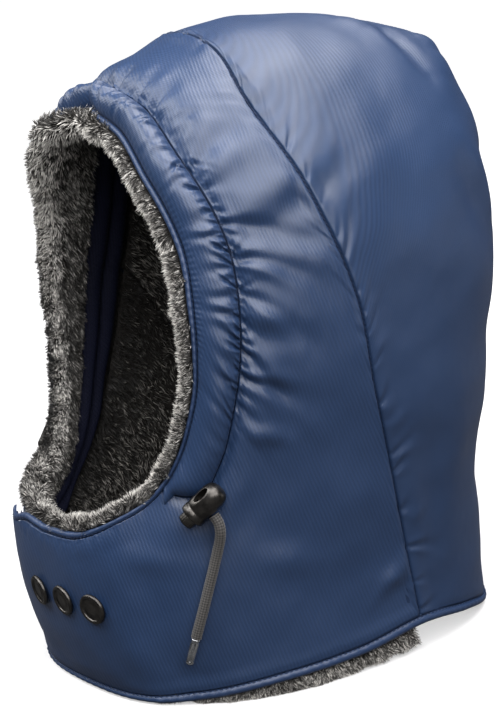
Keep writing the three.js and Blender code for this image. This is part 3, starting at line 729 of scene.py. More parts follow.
def with_lip(points, normals, maps):
    """A grid with its border turned in by the cloth's thickness."""
    inner = points - normals * WALL
    points = np.concatenate([inner[:1], points, inner[-1:]])
    maps = np.concatenate([maps[:1], maps, maps[-1:]])
    normals = np.concatenate([normals[:1], normals, normals[-1:]])
    inner = points - normals * WALL
    inner[0], inner[-1] = points[0], points[-1]
    points = np.concatenate([inner[:, :1], points, inner[:, -1:]], axis=1)
    maps = np.concatenate([maps[:, :1], maps, maps[:, -1:]], axis=1)
    return points, maps


def add_grid(name, points, look, maps, stands_for=None, flip=False):
    faces = grid_faces(*points.shape[:2])
    if flip:
        faces = faces[:, ::-1]
    made = add_mesh(name, points.reshape(-1, 3), faces, look, maps.reshape(-1, 2))
    if stands_for:
        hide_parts(stands_for)
    return made


def add_panel(name, base, normal, relief, maps, stands_for, flip=False):
    """A padded panel of the shell cloth, raised by its relief, with its border turned in."""
    points, maps = with_lip(base + normal * relief[..., None], normal, maps)
    made = add_grid(name, points, SHELL, maps, stands_for, flip)


def run_along(base, row=0):
    """Length along one row of a grid of points, at each point of the grid."""
    return np.broadcast_to(run(base[:, [row]]), base.shape[:2])


# The line of the gathered seam behind the casing, for lengths along it
SEAM_PARTS = np.linspace(0, 1, 1201)
SEAM_LINE, _ = shell(start_round(SEAM_PARTS), panel_start(start_round(SEAM_PARTS)))
SEAM_LENGTHS = run(SEAM_LINE)
SEAM_TOTAL = float(SEAM_LENGTHS[-1])
SEAM_SIDE_FOLDS = seam_folds(11, SEAM_TOTAL, (9, 19), 3.4, (13, 44), (2.0, 4.8))
SEAM_TIGHT_FOLDS = seam_folds(12, SEAM_TOTAL, (3.4, 6.5), 2.6, (2.5, 7.5), (0.8, 1.5))
CASING_FOLDS = seam_folds(13, SEAM_TOTAL, (7, 14), 2.3, (8, 24), (1.8, 4.0))
# Long enough for the folds of both sides of the back seam, where the second side starts
BACK_SEAM_RUN, SECOND_SIDE_RUN = 900, 417
BACK_FOLDS = seam_folds(21, BACK_SEAM_RUN, (9, 22), 1.1, (6, 20), (1.6, 3.4))
SEAM_DIP, HEM_DIP = (0.4, 0.8), (0.6, 2.5)


def seam_place(part):
    return np.interp(part, SEAM_PARTS, SEAM_LENGTHS)


def gathered(part):
    """1 where the drawcord gathers the cloth, easing off towards the cord locks."""
    half = np.minimum(part, 1 - part)
    return smooth(CASING_PART + 0.01, CASING_PART + 0.13, half)


def front_places(part, across):
    half = 1 - np.abs(2 * part - 1)
    by_hem = half < 0.5
    share = np.where(by_hem, half / 0.5, half / 0.5 - 1)
    start = start_round(np.minimum(part, 1 - part))
    seam_round, seam_down = seam_at(1 - share)
    end_round = np.where(by_hem, -FLAP_END + (SEAM_FOOT + FLAP_END) * share, seam_round)
    seam_down = np.where(by_hem, 1, seam_down - down_share(end_round, SEAM_GAP / 2))
    end_down = np.minimum(seam_down, hem_down(end_round))
    at = start + (end_round - start) * across - np.where(by_hem, 0, SEAM_HALF * across)
    first = panel_start(start)
    return np.where(part <= 0.5, at, 1 - at), first + (end_down - first) * across


def add_front_panel():
    part, across = grid_shares(481, 113)
    at, down = front_places(part, across ** 1.15)
    base, normal = shell(at, down)
    away = run(base, 1)
    to_seam = away[:, -1:] - away
    along = np.broadcast_to(seam_place(part[:, :1]), base.shape[:2])
    weight = gathered(part)
    relief = cloth_relief(base) * smooth(0, 12, away) * smooth(0, 10, to_seam)
    relief += weight * fold_relief(along, away, SEAM_SIDE_FOLDS)
    relief += (0.3 + 0.7 * weight) * fold_relief(along, away, SEAM_TIGHT_FOLDS)
    has_casing = smooth(CASING_PART - 0.01, CASING_PART + 0.02, np.minimum(part, 1 - part))
    relief += has_casing * (1.6 * np.exp(-((away - 13) / 10) ** 2) + sharp_dip(away, 2.0, 3.5))
    by_seam = smooth(0.245, 0.27, np.minimum(part, 1 - part))
    down_seam = run_along(base, -1)
    relief += by_seam * (fold_relief(down_seam, to_seam, BACK_FOLDS) + sharp_dip(to_seam, *SEAM_DIP))
    relief += (1 - by_seam) * sharp_dip(to_seam, *HEM_DIP)
    add_panel("front_cloth", base, normal, relief, plane_maps(base), "front_panel", flip=True)


# How far the cloth's ribs lean on the back panel, and what its top adds to the distance from it
RIB_SLANT, TOP_MARGIN = 0.75, 3


def add_back_panel():
    part, across = grid_shares(191, 251)
    edge, seam_down = seam_at(across ** 0.8)
    edge = edge + SEAM_HALF
    at = edge + (1 - 2 * edge) * part
    down = np.minimum(seam_down + down_share(np.full_like(at, 0.5), SEAM_GAP), hem_down(at))
    base, normal = shell(at, down)
    width = run(base, 0)
    from_side = np.minimum(width, width[-1:] - width)
    length = run(base, 1)
    edge_run = np.where(part < 0.5, length[:1], length[-1:] + SECOND_SIDE_RUN)
    from_edge = np.minimum(from_side, length + TOP_MARGIN)
    to_hem = length[:, -1:] - length
    relief = cloth_relief(base) * smooth(0, 12, from_edge)
    relief += fold_relief(edge_run, from_edge, BACK_FOLDS)
    relief += sharp_dip(from_edge, *SEAM_DIP) + sharp_dip(to_hem, *HEM_DIP)
    across_cloth = width - width[-1:] / 2
    maps = np.stack([across_cloth, length + RIB_SLANT * across_cloth], -1) * MM
    add_panel("back_cloth", base, normal, relief, maps, "back_panel")


def add_casing():
    share, across = grid_shares(801, 33)
    part = CASING_PART + (1 - 2 * CASING_PART) * share
    at = start_round(part)
    taper = casing_taper(at)
    width = casing_width(at) * np.maximum(taper, 0.3)
    base, normal = shell(at, down_share(at, EDGE_WIDTH + SEAM_GAP * 0.5 + width * across))
    away = width * (1 - across)
    along = np.broadcast_to(seam_place(part[:, :1]), base.shape[:2])
    ends = smooth(0, 0.02, np.minimum(part, 1 - part) - CASING_PART)
    puff = CASING_PUFF * (0.35 + 0.65 * ends) * np.maximum(np.sin(math.pi * across), 0) ** 0.62
    over_brow = 1 + BROW_PUFF * smooth(0.36, 0.46, half_round(at)[0])
    puff = puff * (1 + 0.22 * across) * over_brow - 0.8 * across ** 6
    weight = gathered(part)
    inside = np.sin(math.pi * np.clip(across * 0.5 + 0.06, 0, 1)) ** 0.5
    folds = fold_relief(along, away, CASING_FOLDS) + fold_relief(along, away, SEAM_TIGHT_FOLDS)
    relief = puff + weight * folds * inside + 0.35 * MID_RIPPLE(base) * np.sin(math.pi * across)
    fine = 0.16 * np.sin(along * 1.9 + 2.0 * MID_RIPPLE(base)) * np.exp(-(across * width / 2.6) ** 2)
    relief += fine
    add_panel("casing_cloth", base, normal, relief, plane_maps(base), "drawcord_casing", flip=True)


def add_face_edge():
    part, share = grid_shares(901, 13)
    turn = math.pi * (1.15 * share - 0.15)
    at = start_round(part)
    down_mm = EDGE_WIDTH / 2 * (1 + np.cos(turn))
    out = -WALL * 0.5 + (WALL * 0.5 + 0.45) * np.sin(turn)
    base, normal = shell(at, down_share(at, np.maximum(down_mm, 0) + flap_drop(at)))
    along = run_along(base)
    pucker = 0.12 * np.sin(along * 1.55 + 1.5 * MID_RIPPLE(base)) + 0.10 * FINE_RIPPLE(base)
    stitched = -0.35 * np.exp(-((down_mm - EDGE_WIDTH * 0.97) / 0.35) ** 2)
    points = base + normal * (out + pucker * np.clip(np.sin(turn), 0, 1) + stitched)[..., None]
    add_grid("edge_cloth", points, EDGE, plane_maps(base + 0.8 * along[..., None]), "face_edge")


def add_hem():
    part, share = grid_shares(801, 13)
    turn = 1.15 * math.pi * share
    at = -FLAP_END + (1 + 2 * FLAP_END) * part
    from_hem = HEM_WIDTH / 2 * (1 + np.cos(turn))
    base, normal = shell(at, 1 - hem_share(at, from_hem))
    half, _ = half_round(at)
    floor = hem_lift(curve(OPENING["round"], OPENING["turn"], half))
    end_point, _ = shell(at, 1 - hem_share(at, np.zeros_like(from_hem)))
    settle = (floor - end_point[..., 2]) * (1 - from_hem / HEM_WIDTH)
    base[..., 2] += settle
    along = run_along(base)
    out = -WALL * 0.5 + (WALL * 0.5 + 0.5) * np.sin(turn)
    pucker = 0.13 * np.sin(along * 1.2 + 1.7 * MID_RIPPLE(base)) + 0.12 * FINE_RIPPLE(base)
    points = base + normal * (out + pucker * np.clip(np.sin(turn), 0, 1))[..., None]
    points[..., 2] = np.maximum(points[..., 2], 0.05)
    add_grid("hem_cloth", points, EDGE, plane_maps(base + 0.8 * along[..., None]), "hem_band")


# Depths of the dark cloth under the casing's seam, the back seam and the hem
CASING_TAPE, BACK_TAPE, HEM_TAPE = 3.4, 1.5, 2.0


def add_seam_backing():
    """Dark cloth under the seams, so that no gap shows between the panels."""
    at = start_round(np.linspace(0, 1, 401))
    start = panel_start(at)
    _, normal = shell(at, start)
    offsets = [down_share(at, np.full_like(at, offset)) for offset in np.linspace(-4, 5, 5)]
    pieces = [[shell(at, start + offset)[0] - CASING_TAPE * normal for offset in offsets]]
    at, down = seam_at(np.linspace(0, 1, 201))
    for side in (1, -1):
        rows = []
        for offset in np.linspace(-0.008, 0.008, 5):
            place = at + offset if side > 0 else 1 - (at + offset)
            points, normal = shell(place, np.minimum(down, SEAM_HEM) - offset * 1.5)
            rows.append(points - BACK_TAPE * normal)
        pieces.append(rows)
    at = np.linspace(-FLAP_END, 1 + FLAP_END, 401)
    rows = []
    for offset in np.linspace(1.0, 8.0, 4):
        points, normal = shell(at, 1 - hem_share(at, np.full_like(at, offset)))
        rows.append(points - HEM_TAPE * normal)
    pieces.append(rows)
    for index, rows in enumerate(pieces):
        points = np.stack(rows, 1)
        add_grid(f"seam_tape_{index}", points, THREAD, plane_maps(points))


def add_stitches(name, points, normals, pitch, length, radius):
    """Thread dashes lying along a line on the cloth."""
    lengths = run(points)
    places = np.arange(pitch / 2, lengths[-1], pitch)

    def at(place, values):
        return np.stack([np.interp(place, lengths, values[:, axis]) for axis in range(3)], -1)

    rings, sides = 5, 6
    along = np.linspace(-1, 1, rings)
    round_off = np.sqrt(np.maximum(1 - along ** 2 * 0.96, 0))
    verts, faces, maps = [], [], []
    template = grid_faces(rings, sides, closed=True)
    for place in places:
        middle, normal = at(place, points), at(place, normals)
        ahead = unit(at(place + length / 2, points) - at(place - length / 2, points))
        across = np.cross(normal, ahead)
        angle = np.arange(sides) * 2 * math.pi / sides
        sink = 0.16 * along ** 2
        ring = (middle + along[:, None, None] * (length / 2) * ahead
                + (radius * round_off)[:, None, None] * (np.cos(angle)[None, :, None] * normal
                                                        + np.sin(angle)[None, :, None] * across)
                - sink[:, None, None] * normal)
        faces.append(template + len(verts) * rings * sides)
        verts.append(ring.reshape(-1, 3))
        wound = np.broadcast_arrays(angle[None, :] * 0.0003, (place + along[:, None]) * MM)
        maps.append(np.stack(wound, -1).reshape(-1, 2))
    add_mesh(name, np.concatenate(verts), np.concatenate(faces), THREAD, np.concatenate(maps))


def add_stitch_lines():
    part = np.linspace(0.002, 0.998, 1600)
    at = start_round(part)
    base, normal = shell(at, down_share(at, EDGE_WIDTH * 0.97 + flap_drop(at)))
    add_stitches("edge_stitches", base + normal * 0.28, normal, 2.4, 1.7, 0.2)
    at = np.linspace(-FLAP_END + 0.001, 1 + FLAP_END - 0.001, 1600)
    base, normal = shell(at, 1 - hem_share(at, np.full_like(at, HEM_WIDTH + 0.3)))
    add_stitches("hem_stitches", base - normal * 0.1, normal, 2.6, 1.9, 0.22)
    at, down = seam_at(np.linspace(0, SEAM_HEM, 900))
    for place, name in ((at, "left"), (1 - at, "right")):
        base, normal = shell(place, np.minimum(down, SEAM_HEM))
        add_stitches(f"back_seam_stitches_{name}", base - normal * 0.75, normal, 2.7, 1.9, 0.24)


# Ribbed band and fur
RIB_PITCH = 2.1


def add_ribbed_band():
    part, across = grid_shares(901, 21)
    at = BAND_START + (1 - 2 * BAND_START) * part
    start = facing_width(at) + LAYER_GAP
    base, normal = shell(at, down_share(at, start + RIBBED_WIDTH * across))
    along = run_along(base, base.shape[1] // 2)
    roll = RIBBED_ROLL * np.abs(np.sin(2 * math.pi * across)) ** 0.7
    waved = MID_RIPPLE(base)
    rib = 0.45 * np.sin(2 * math.pi * along / RIB_PITCH + 0.6 * waved) + 0.5 * waved
    out = -(WALL + LINING_GAP) - RIBBED_WALL - roll - rib * (roll / RIBBED_ROLL)
    points = base + normal * out[..., None]
    maps = np.stack([along, start + RIBBED_WIDTH * across], -1) * MM
    add_grid("ribbed_cloth", points, LINING, maps, "ribbed_band")


CHIN_INSET, CENTRE_INSET = 0.006, 0.0015
RIM_LENGTH, SIDE_LENGTH, HEM_LENGTH, CENTRE_LENGTH = 3.9, 4.4, 3.2, 4.8
HAIR_WIDTH, WIDE_HAIR = 0.5, 0.7
HAIR_CLUMP = [Ripple(31 + index, 11) for index in range(3)]
HAIR_FINE = [Ripple(41 + index, 4.0) for index in range(3)]


def pile(name, place, count, length, width, look, seed, lift=0.75):
    """Hairs on a surface: place(u, v) gives their roots, outward ways, lie and painted light, an offset to each
    hair's tone for light and shade.
    """
    source = np.random.default_rng(seed)
    root, out, lay, light = place(source.uniform(0, 1, count), source.uniform(0, 1, count))
    clump = np.stack([ripple(root) for ripple in HAIR_CLUMP], -1)
    fine = np.stack([ripple(root) for ripple in HAIR_FINE], -1)
    way = unit(out * lift + lay + clump * 0.26 + fine * 0.24 + source.normal(0, 0.2, (count, 3)))
    inward = np.minimum((way * out).sum(1) - 0.12, 0)[:, None]
    way = way - out * inward
    reach = (length * source.uniform(0.62, 1.12, count) * (1 + 0.12 * clump[:, 0]))[:, None]
    side = unit(np.cross(way, source.normal(0, 1, (count, 3))))
    half = side * (width / 2 * source.uniform(0.6, 1.3, count))[:, None]
    bend = (lay * 0.5 + clump * 0.35 + source.normal(0, 0.15, (count, 3))) * reach * 0.35
    middle = root + way * reach * 0.45 + bend * 0.2
    points = np.stack([root, middle - half, middle + half, root + way * reach + bend], 1).reshape(-1, 3)
    points[:, 2] = np.maximum(points[:, 2], 0.1)
    # Each hair's tone: a random part plus the painted light and shade of its place.
    shade = source.uniform(0, 1, count) + light
    maps = np.stack([np.stack([shade, np.full(count, along)], -1) for along in (0.0, 0.45, 0.45, 1.0)], 1)
    faces = (np.arange(count)[:, None, None] * 4 + np.array([[0, 1, 2], [2, 1, 3]])).reshape(-1, 3)
    add_mesh(name, points, faces, look, maps.reshape(-1, 2), map_name="hair")


# The rim fur's section, from under the edge, round the roll and along the inside: shares of
# the roll ahead of the edge (below 0) or of the facing behind it, depth inside, share of flare
RIM_SHARES = [0, 0.10, 0.20, 0.30, 0.40, 0.52, 0.68, 0.85, 0.95, 1]
RIM_BEHIND = [0.06, -0.35, -0.85, -1, -0.7, 0.06, 0.38, 0.72, 0.93, 1]
RIM_INSIDE = [1.3, 0.6, 1.6, 4.6, 7.8, 9.6, 10.4, 9.6, 7.6, 4.6]
RIM_FLARED = [0.1, 0.8, 1, 0.7, 0.3, 0, 0, 0, 0, 0]
RIM_START, RIM_END = 0.03, 1.04
# Round the opening: the roll ahead of the edge and its flare over the outer face
ROLL_ROUND = [0.03, 0.10, 0.20, 0.30, 0.40, 0.48, 0.525, 0.552, 0.60, 0.68, 0.80, 0.87, 0.93, 1.04]
ROLL_AHEAD = [6.0, 7.0, 6.5, 5.8, 5.8, 5.2, 11.0, 7.6, 3.4, 1.2, 1.0, 1.8, 3.6, 3.6]
ROLL_FLARE = [-1.2, -1.2, -1.2, -1.2, -1.2, -0.8, 10.0, 6.8, 2.4, 0.4, -0.6, 0.4, 3.4, 2.6]


def rim_point(at, share):
    behind = curve(RIM_SHARES, RIM_BEHIND, share)
    unit = np.where(behind < 0, np.interp(at, ROLL_ROUND, ROLL_AHEAD), facing_width(at))
    flare = np.interp(at, ROLL_ROUND, ROLL_FLARE)
    inside = curve(RIM_SHARES, RIM_INSIDE, share) - curve(RIM_SHARES, RIM_FLARED, share) * flare
    points, normal = shell(at, down_share(at, behind * unit))
    return points - normal * inside[..., None]


def add_rim_fur():
    part, share = grid_shares(401, 37)
    points = rim_point(RIM_START + (RIM_END - RIM_START) * part, share)
    add_grid("rim_backing", points, RIM_SKIN, plane_maps(points), "rim_fur")

    def place_between(first, last):
        def place(u, v):
            at = first + (last - first) * u
            share = 0.02 + 0.94 * v
            across = unit(rim_point(at, share + 0.004) - rim_point(at, share - 0.004))
            out = unit(np.cross(rim_point(at + STEP, share) - rim_point(at - STEP, share), across))
            spread = np.clip(np.interp(at, ROLL_ROUND, ROLL_FLARE) / 4, -0.5, 0.6)
            settled = smooth(0.25, 0.6, share)
            way = across * (0.15 * settled + (0.25 - spread) * (1 - settled))[:, None]
            way = way + np.array([0, 0, -1.0]) * (0.25 + 0.75 * settled)[:, None]
            # Painted light on the rim hairs: a painted highlight on the crest of the roll, painted shade under
            # the roll and deeper along the facing, and painted shade on the far side, more so lower down.
            crest_highlight = 0.5 * np.exp(-((share - 0.31) / 0.12) ** 2)
            under = 0.3 * np.exp(-((share - 0.10) / 0.09) ** 2)
            far_painted_shade = (at > 0.5) * (0.16 + 0.22 * smooth(0.60, 0.70, at))
            return rim_point(at, share), out, way, crest_highlight - under - 0.1 * settled - far_painted_shade
        return place

    pile("rim_pile_near", place_between(RIM_START, 0.5), 60000, RIM_LENGTH, HAIR_WIDTH, RIM_HAIR, 51)
    pile("rim_pile_far", place_between(0.5, RIM_END), 50000, RIM_LENGTH, HAIR_WIDTH, RIM_HAIR, 52)


def lining_start(at):
    half, _ = half_round(at)
    behind = smooth(BAND_START - 0.07, BAND_START - 0.03, half)
    return down_share(at, facing_width(at) + LAYER_GAP + (RIBBED_WIDTH + LAYER_GAP) * behind)


def add_lining_backing(name, node_name, surface, size, turned, clumps, clump_height):
    """The backing of a fur lining: its outer face, its turned edge and its clumped free face."""
    part, turn = grid_shares(*size)
    across = np.clip(np.minimum(turn, 1 - turn) / (0.5 - turned), 0, 1)
    points, normal = surface(part, across, FUR_DEPTH * 0.55 * smooth(0.5 - turned, 0.5 + turned, turn))
    points = points - normal * (clump_height * clumps(points) * smooth(0.5, 0.6, turn))[..., None]
    points[..., 2] = np.maximum(points[..., 2], 0.3)
    add_grid(name, points, DARK_SKIN, plane_maps(points), node_name)


def hairs_down(surface, light):
    """Places for hairs that lie down a lining's free face, with painted light and shade set by the way down."""
    def place(u, v):
        depth = np.full_like(u, FUR_DEPTH * 0.5)
        points, normal = surface(u, v, depth)
        down = unit(surface(u, np.minimum(v + 0.02, 1.0), depth)[0] - surface(u, v - 0.02, depth)[0])
        return points, -normal, down * 0.6, light(v)
    return place


def add_side_lining(name, chin_end, far, count, hem_count, seed):
    out_by = WALL + LAYER_GAP + 0.5

    def surface(part, across, depth):
        end = 1 - SEAM_FOOT if far else SEAM_FOOT
        at = chin_end + (end - chin_end) * part
        first = lining_start(at)
        points, normal = shell(at, first + (1 - first) * across)
        points = points - normal * (out_by + depth)[..., None]
        half, _ = half_round(at)
        shows = smooth(0.12, 0.15, half) * smooth(0.72, 1.0, across)
        rise = FUR_RISE * smooth(0.25, SEAM_FOOT, half)
        height = points[..., 2]
        points[..., 2] = height * (1 - shows) + (rise + (height - rise) * (1 - across)) * shows
        return points, normal

    def place_low(u, v):
        """Round the lower edge: down the outer face, under it and a little up the inside."""
        across = np.where(v < 0.6, 0.88 + 0.12 * v / 0.6, 1.0)
        depth = FUR_DEPTH * 0.55 * np.clip((v - 0.6) / 0.4, 0, 1)
        points, normal = surface(u, across, depth)
        ahead, behind = np.minimum(u + 0.01, 1), u - 0.01
        along = unit(surface(ahead, across, depth)[0] - surface(behind, across, depth)[0])
        end = smooth(0.985, 1.0, u)[:, None] * 1.6
        under = smooth(0.5, 0.75, v)[:, None]
        out = unit(normal * (1 - under) + along * end + np.array([0, 0, -0.55]) * under)
        # Every hem hair gets a little painted shade.
        return points, out, np.array([0, 0, -0.35]) * (1 - under), np.full(len(u), -0.12)

    add_lining_backing(f"{name}_backing", name, surface, (141, 57), 0.08, HAIR_CLUMP[1], 0.6)
    # Painted shade on the side lining's hairs, darkest at its front edge next to the ribbed band.
    place = hairs_down(surface, lambda v: -0.5 * (1 - smooth(0.04, 0.34, v)))
    pile(f"{name}_pile", place, count, SIDE_LENGTH, HAIR_WIDTH, DARK_HAIR, seed)
    pile(f"{name}_hem_pile", place_low, hem_count, HEM_LENGTH, HAIR_WIDTH, RIM_HAIR, seed + 20)


def add_centre_lining():
    out_by = WALL + LINING_GAP
    edge = SEAM_FOOT + CENTRE_INSET

    def surface(part, across, depth):
        at = edge + (1 - 2 * edge) * part
        first = lining_start(at)
        points, normal = shell(at, first + (1 - hem_share(at, HEM_WIDTH) - first) * across)
        return points - normal * (out_by + depth)[..., None], normal

    add_lining_backing("centre_backing", "centre_lining", surface, (81, 97), 0.05, HAIR_CLUMP[2], 0.7)
    place = hairs_down(surface, lambda v: np.zeros(len(v)))
    pile("centre_pile", place, 32000, CENTRE_LENGTH, WIDE_HAIR, DARK_HAIR, 71)


# Snaps and cord locks
SNAP_SPACING, SNAP_LEVEL, SNAP_CENTRE, SNAP_COUNT, SNAP_GAP = 20.5, 48, 14.5, 3, 0.6
# A rough length round the opening and share of the way down, to start the search from
OPENING_RUN, SNAP_DOWN = 560, 0.45
LOCK_ROUND, LOCK_PLACE, LOCK_TILT = 0.204, 1.1, math.radians(40)
LOCK_RADIUS, LOCK_LENGTH, LOCK_LIFT = 6, 19, 0.7
EYE_SIDES = 28


def find_on_shell(across, height, at, down):
    """The place on the outer face that lies that far across and that high, from a guess."""
    for _ in range(12):
        here, by_round, by_down = [
            shell(*place)[0][[0, 2]] for place in ((at, down), (at + STEP, down), (at, down + STEP))]
        slopes = np.stack([by_round - here, by_down - here], 1) / STEP
        more_round, more_down = np.linalg.solve(slopes, np.array([across, height]) - here)
        at, down = at + more_round, down + more_down
    return at, down


def stand_on_shell(at, down, out):
    """A point out from the outer face, and the level, upward and outward axes there."""
    point, outward = shell(at, down)
    level = unit(np.cross((0, 0, 1), outward))
    return point + outward * out, level, np.cross(outward, level), outward


def replace_metal(name, points, faces, node_name, body=BODY):
    made = add_mesh(name, points, faces, GUNMETAL, body=body)
    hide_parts(node_name)
    return made


def add_snaps():
    profile = [(0, 0), (6.9, 0), (7.35, 0.35), (7.5, 0.8), (7.45, 1.35), (7.15, 1.85), (6.75, 2.12),
               (6.35, 2.2), (5.95, 2.08), (5.7, 1.8), (5.55, 1.5), (5.3, 1.35), (4.6, 1.32), (3.9, 1.38),
               (3.55, 1.5), (3.3, 1.66), (2.9, 1.72), (1.6, 1.74), (0, 1.75)]
    for index in range(SNAP_COUNT):
        across = SNAP_CENTRE + SNAP_SPACING * (index - (SNAP_COUNT - 1) / 2)
        at, down = find_on_shell(across, SNAP_LEVEL, across / OPENING_RUN, SNAP_DOWN)
        origin, _, _, outward = stand_on_shell(at, down, SNAP_GAP)
        points, faces = lathe(profile, 64, origin, outward)
        replace_metal(f"snap_{index + 1}", points, faces, f"snap_cap_{index + 1}")


def lock_seat(sign):
    """The barrel's middle, and the ways along it, up across it and outward; sign -1 mirrors them."""
    down = down_share(LOCK_ROUND, EDGE_WIDTH + casing_width(LOCK_ROUND) * LOCK_PLACE)
    origin, level, upward, outward = stand_on_shell(LOCK_ROUND, down, LOCK_RADIUS + LOCK_LIFT)
    along = level * math.cos(LOCK_TILT) + upward * math.sin(LOCK_TILT)
    up = upward * math.cos(LOCK_TILT) - level * math.sin(LOCK_TILT)
    return [Vector(vector * (sign, 1, 1)) for vector in (origin, along, up, outward)]


def add_eye_cutter(middle, along, across, through, length, width, depth):
    """An oval bar, for the eye in the barrel's flank."""
    angles = [2 * math.pi * index / EYE_SIDES for index in range(EYE_SIDES)]
    ring = [middle + along * math.cos(angle) * length + across * math.sin(angle) * width for angle in angles]
    points = [point + through * level for level in (-depth, depth) for point in ring]
    faces = grid_faces(2, EYE_SIDES, closed=True)[:, ::-1].tolist()
    faces.append(list(reversed(range(EYE_SIDES))))
    faces.append([EYE_SIDES + index for index in range(EYE_SIDES)])
    data = bpy.data.meshes.new("cutter")
    data.from_pydata([tuple(point * MM) for point in points], [], faces)
    cutter = bpy.data.objects.new("cutter", data)
    bpy.context.scene.collection.objects.link(cutter)
    return cutter


def cut_and_soften(barrel, cutter):
    cut = barrel.modifiers.new("eye", "BOOLEAN")
    cut.operation = "DIFFERENCE"
    cut.object = cutter
    cut.solver = "EXACT"
    edge = barrel.modifiers.new("soft", "BEVEL")
    edge.width = 0.00025
    edge.segments = 2
    edge.limit_method = "ANGLE"
    edge.angle_limit = math.radians(40)
    bpy.context.view_layer.update()
    shaped = bpy.data.meshes.new_from_object(barrel.evaluated_get(bpy.context.evaluated_depsgraph_get()))
    barrel.modifiers.clear()
    barrel.data = shaped
    bpy.data.objects.remove(cutter)


def add_lock(side, sign):
    """Barrel with an eye cut in its flank, a domed end and ridges, and its ribbed button."""
    origin, along, up, out = lock_seat(sign)
    half = LOCK_LENGTH / 2
    profile = [(0, -half + 8.2), (4.3, -half + 8.2), (4.3, -half + 0.3), (4.6, -half), (5.2, -half),
               (5.75, -half + 0.25), (6.0, -half + 0.8), (6.0, -half + 3.2), (5.75, -half + 3.6),
               (5.75, -half + 4.2), (6.0, -half + 4.6), (6.0, half - 5.6), (5.93, half - 4.6),
               (5.72, half - 3.6), (5.35, half - 2.5), (4.75, half - 1.5), (3.9, half - 0.75),
               (2.8, half - 0.28), (1.5, half - 0.05), (0, half)]
    points, faces = lathe(profile, 56, origin, along)
    barrel = replace_metal(f"lock_barrel_{side}", points, faces, f"cord_lock_{side}")
    facing = (up * 0.75 + out * 0.6).normalized()
    middle = origin + along * 1.5 + facing * 6.2
    cut_and_soften(barrel, add_eye_cutter(middle, along, facing.cross(along), facing, 4.2, 2.1, 3.4))

    def ridges(angle, position):
        return 0.1 * math.cos(20 * angle) if -half - 3.9 < position < -half + 3 else 0

    profile = [(0, -half - 4.5), (1.6, -half - 4.48), (2.7, -half - 4.35), (3.2, -half - 4.1),
               (3.6, -half - 3.7), (3.78, -half - 3.2), (3.8, -half), (3.8, -half + 4.6), (3.5, -half + 5),
               (0, -half + 5)]
    points, faces = lathe(profile, 80, origin, along, ridges)
    replace_metal(f"lock_plunger_{side}", points, faces, f"lock_button_{side}", body=f"button_{side}")


# All pieces
add_cord("left", 1)
add_cord("right", -1)
add_front_panel()
add_back_panel()
add_casing()
add_face_edge()
add_hem()
add_seam_backing()
add_stitch_lines()
add_ribbed_band()
add_rim_fur()
add_side_lining("side_lining_left", FLAP_END + CHIN_INSET, far=False, count=26000, hem_count=24000, seed=61)
add_side_lining("side_lining_right", 1 + FLAP_END - CHIN_INSET, far=True, count=31000, hem_count=13000, seed=62)
add_centre_lining()
add_snaps()
add_lock("left", 1)
add_lock("right", -1)


# Floor and light
FLOOR_HALF = 6.0
# Name, place, aim and size in metres, power in watts, colour
LIGHTS = [
    ("key", (0.86, -0.22, 1.04), (0.0, 0.0, 0.18), 1.45, 33, (1.0, 0.985, 0.985)),
    ("top", (-0.02, 0.38, 1.24), (0.0, 0.02, 0.25), 0.95, 19, (1.0, 0.98, 0.98)),
    ("front", (-0.10, -0.85, 1.16), (0.0, -0.05, 0.24), 0.75, 15, (1.0, 1.0, 1.0)),
    ("back", (0.62, 1.15, 0.08), (0.0, 0.05, 0.10), 0.6, 1.6, (1.0, 1.0, 1.0)),
    ("left", (-0.95, -0.55, 0.85), (-0.02, -0.05, 0.22), 0.7, 5.5, (1.0, 1.0, 1.0)),
]


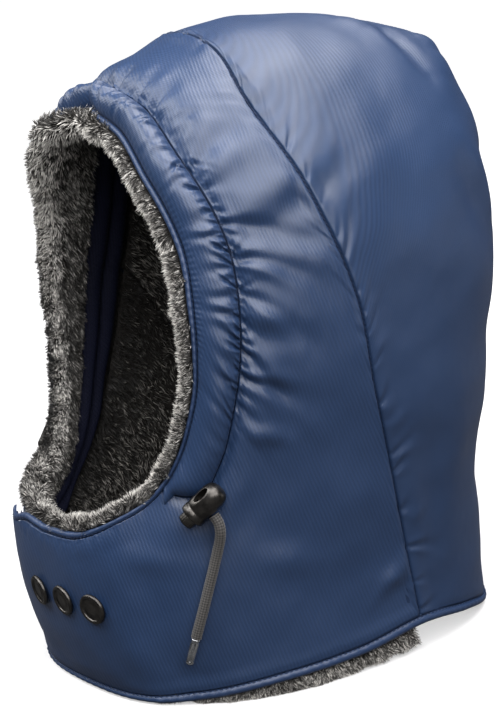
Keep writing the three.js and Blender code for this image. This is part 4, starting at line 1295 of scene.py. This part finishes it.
def add_stage():
    data = bpy.data.meshes.new("floor")
    corners = [(x * FLOOR_HALF, y * FLOOR_HALF, 0) for x, y in ((-1, -1), (1, -1), (1, 1), (-1, 1))]
    data.from_pydata(corners, [], [(0, 1, 2, 3)])
    floor = bpy.data.objects.new("floor", data)
    bpy.context.scene.collection.objects.link(floor)
    made, tree, shader = material("floor_paper")
    at = object_place(tree)
    seen = node(tree, "ShaderNodeLightPath").outputs["Is Camera Ray"]
    shade = noise(tree, at, 3.0, 3.0)
    paper = ramp(tree, shade, [(0.3, rgba(0.42, 0.42, 0.425)), (0.7, rgba(0.45, 0.45, 0.455))])
    away = node(tree, "ShaderNodeVectorMath", {0: at}, operation="LENGTH").outputs["Value"]
    glow = node(tree, "ShaderNodeMapRange", {
        "Value": away, "From Min": 0.25, "From Max": 0.8, "To Min": 0.46, "To Max": 1.0}).outputs["Result"]
    feed(tree, shader, {
        "Base Color": colour_mix(tree, seen, rgba(0.06, 0.06, 0.06), paper),
        "Roughness": 0.9,
        "Specular IOR Level": 0.1,
        "Emission Strength": math_node(tree, "MULTIPLY", seen, glow),
        "Emission Color": rgba(1, 1, 1),
    })
    data.materials.append(made)


def add_light(name, place, aim, size, power, colour):
    data = bpy.data.lights.new(name, "AREA")
    data.energy = power
    data.color = colour
    data.shape = "RECTANGLE"
    data.size = size
    data.size_y = size
    light = bpy.data.objects.new(name, data)
    bpy.context.scene.collection.objects.link(light)
    light.visible_camera = False
    light.location = place
    light.rotation_mode = "QUATERNION"
    light.rotation_quaternion = (Vector(aim) - Vector(place)).to_track_quat("-Z", "Y")


def add_world():
    world = bpy.data.worlds.new("studio")
    world.use_nodes = True
    tree = world.node_tree
    seen = node(tree, "ShaderNodeLightPath").outputs["Is Camera Ray"]
    feed(tree, tree.nodes["Background"], {
        "Color": rgba(1, 1, 1), "Strength": math_node(tree, "MULTIPLY_ADD", seen, 0.96, 0.02)})
    bpy.context.scene.world = world


add_camera()
add_stage()
add_world()
for light_row in LIGHTS:
    add_light(*light_row)
bpy.context.scene.view_settings.view_transform = "Standard"
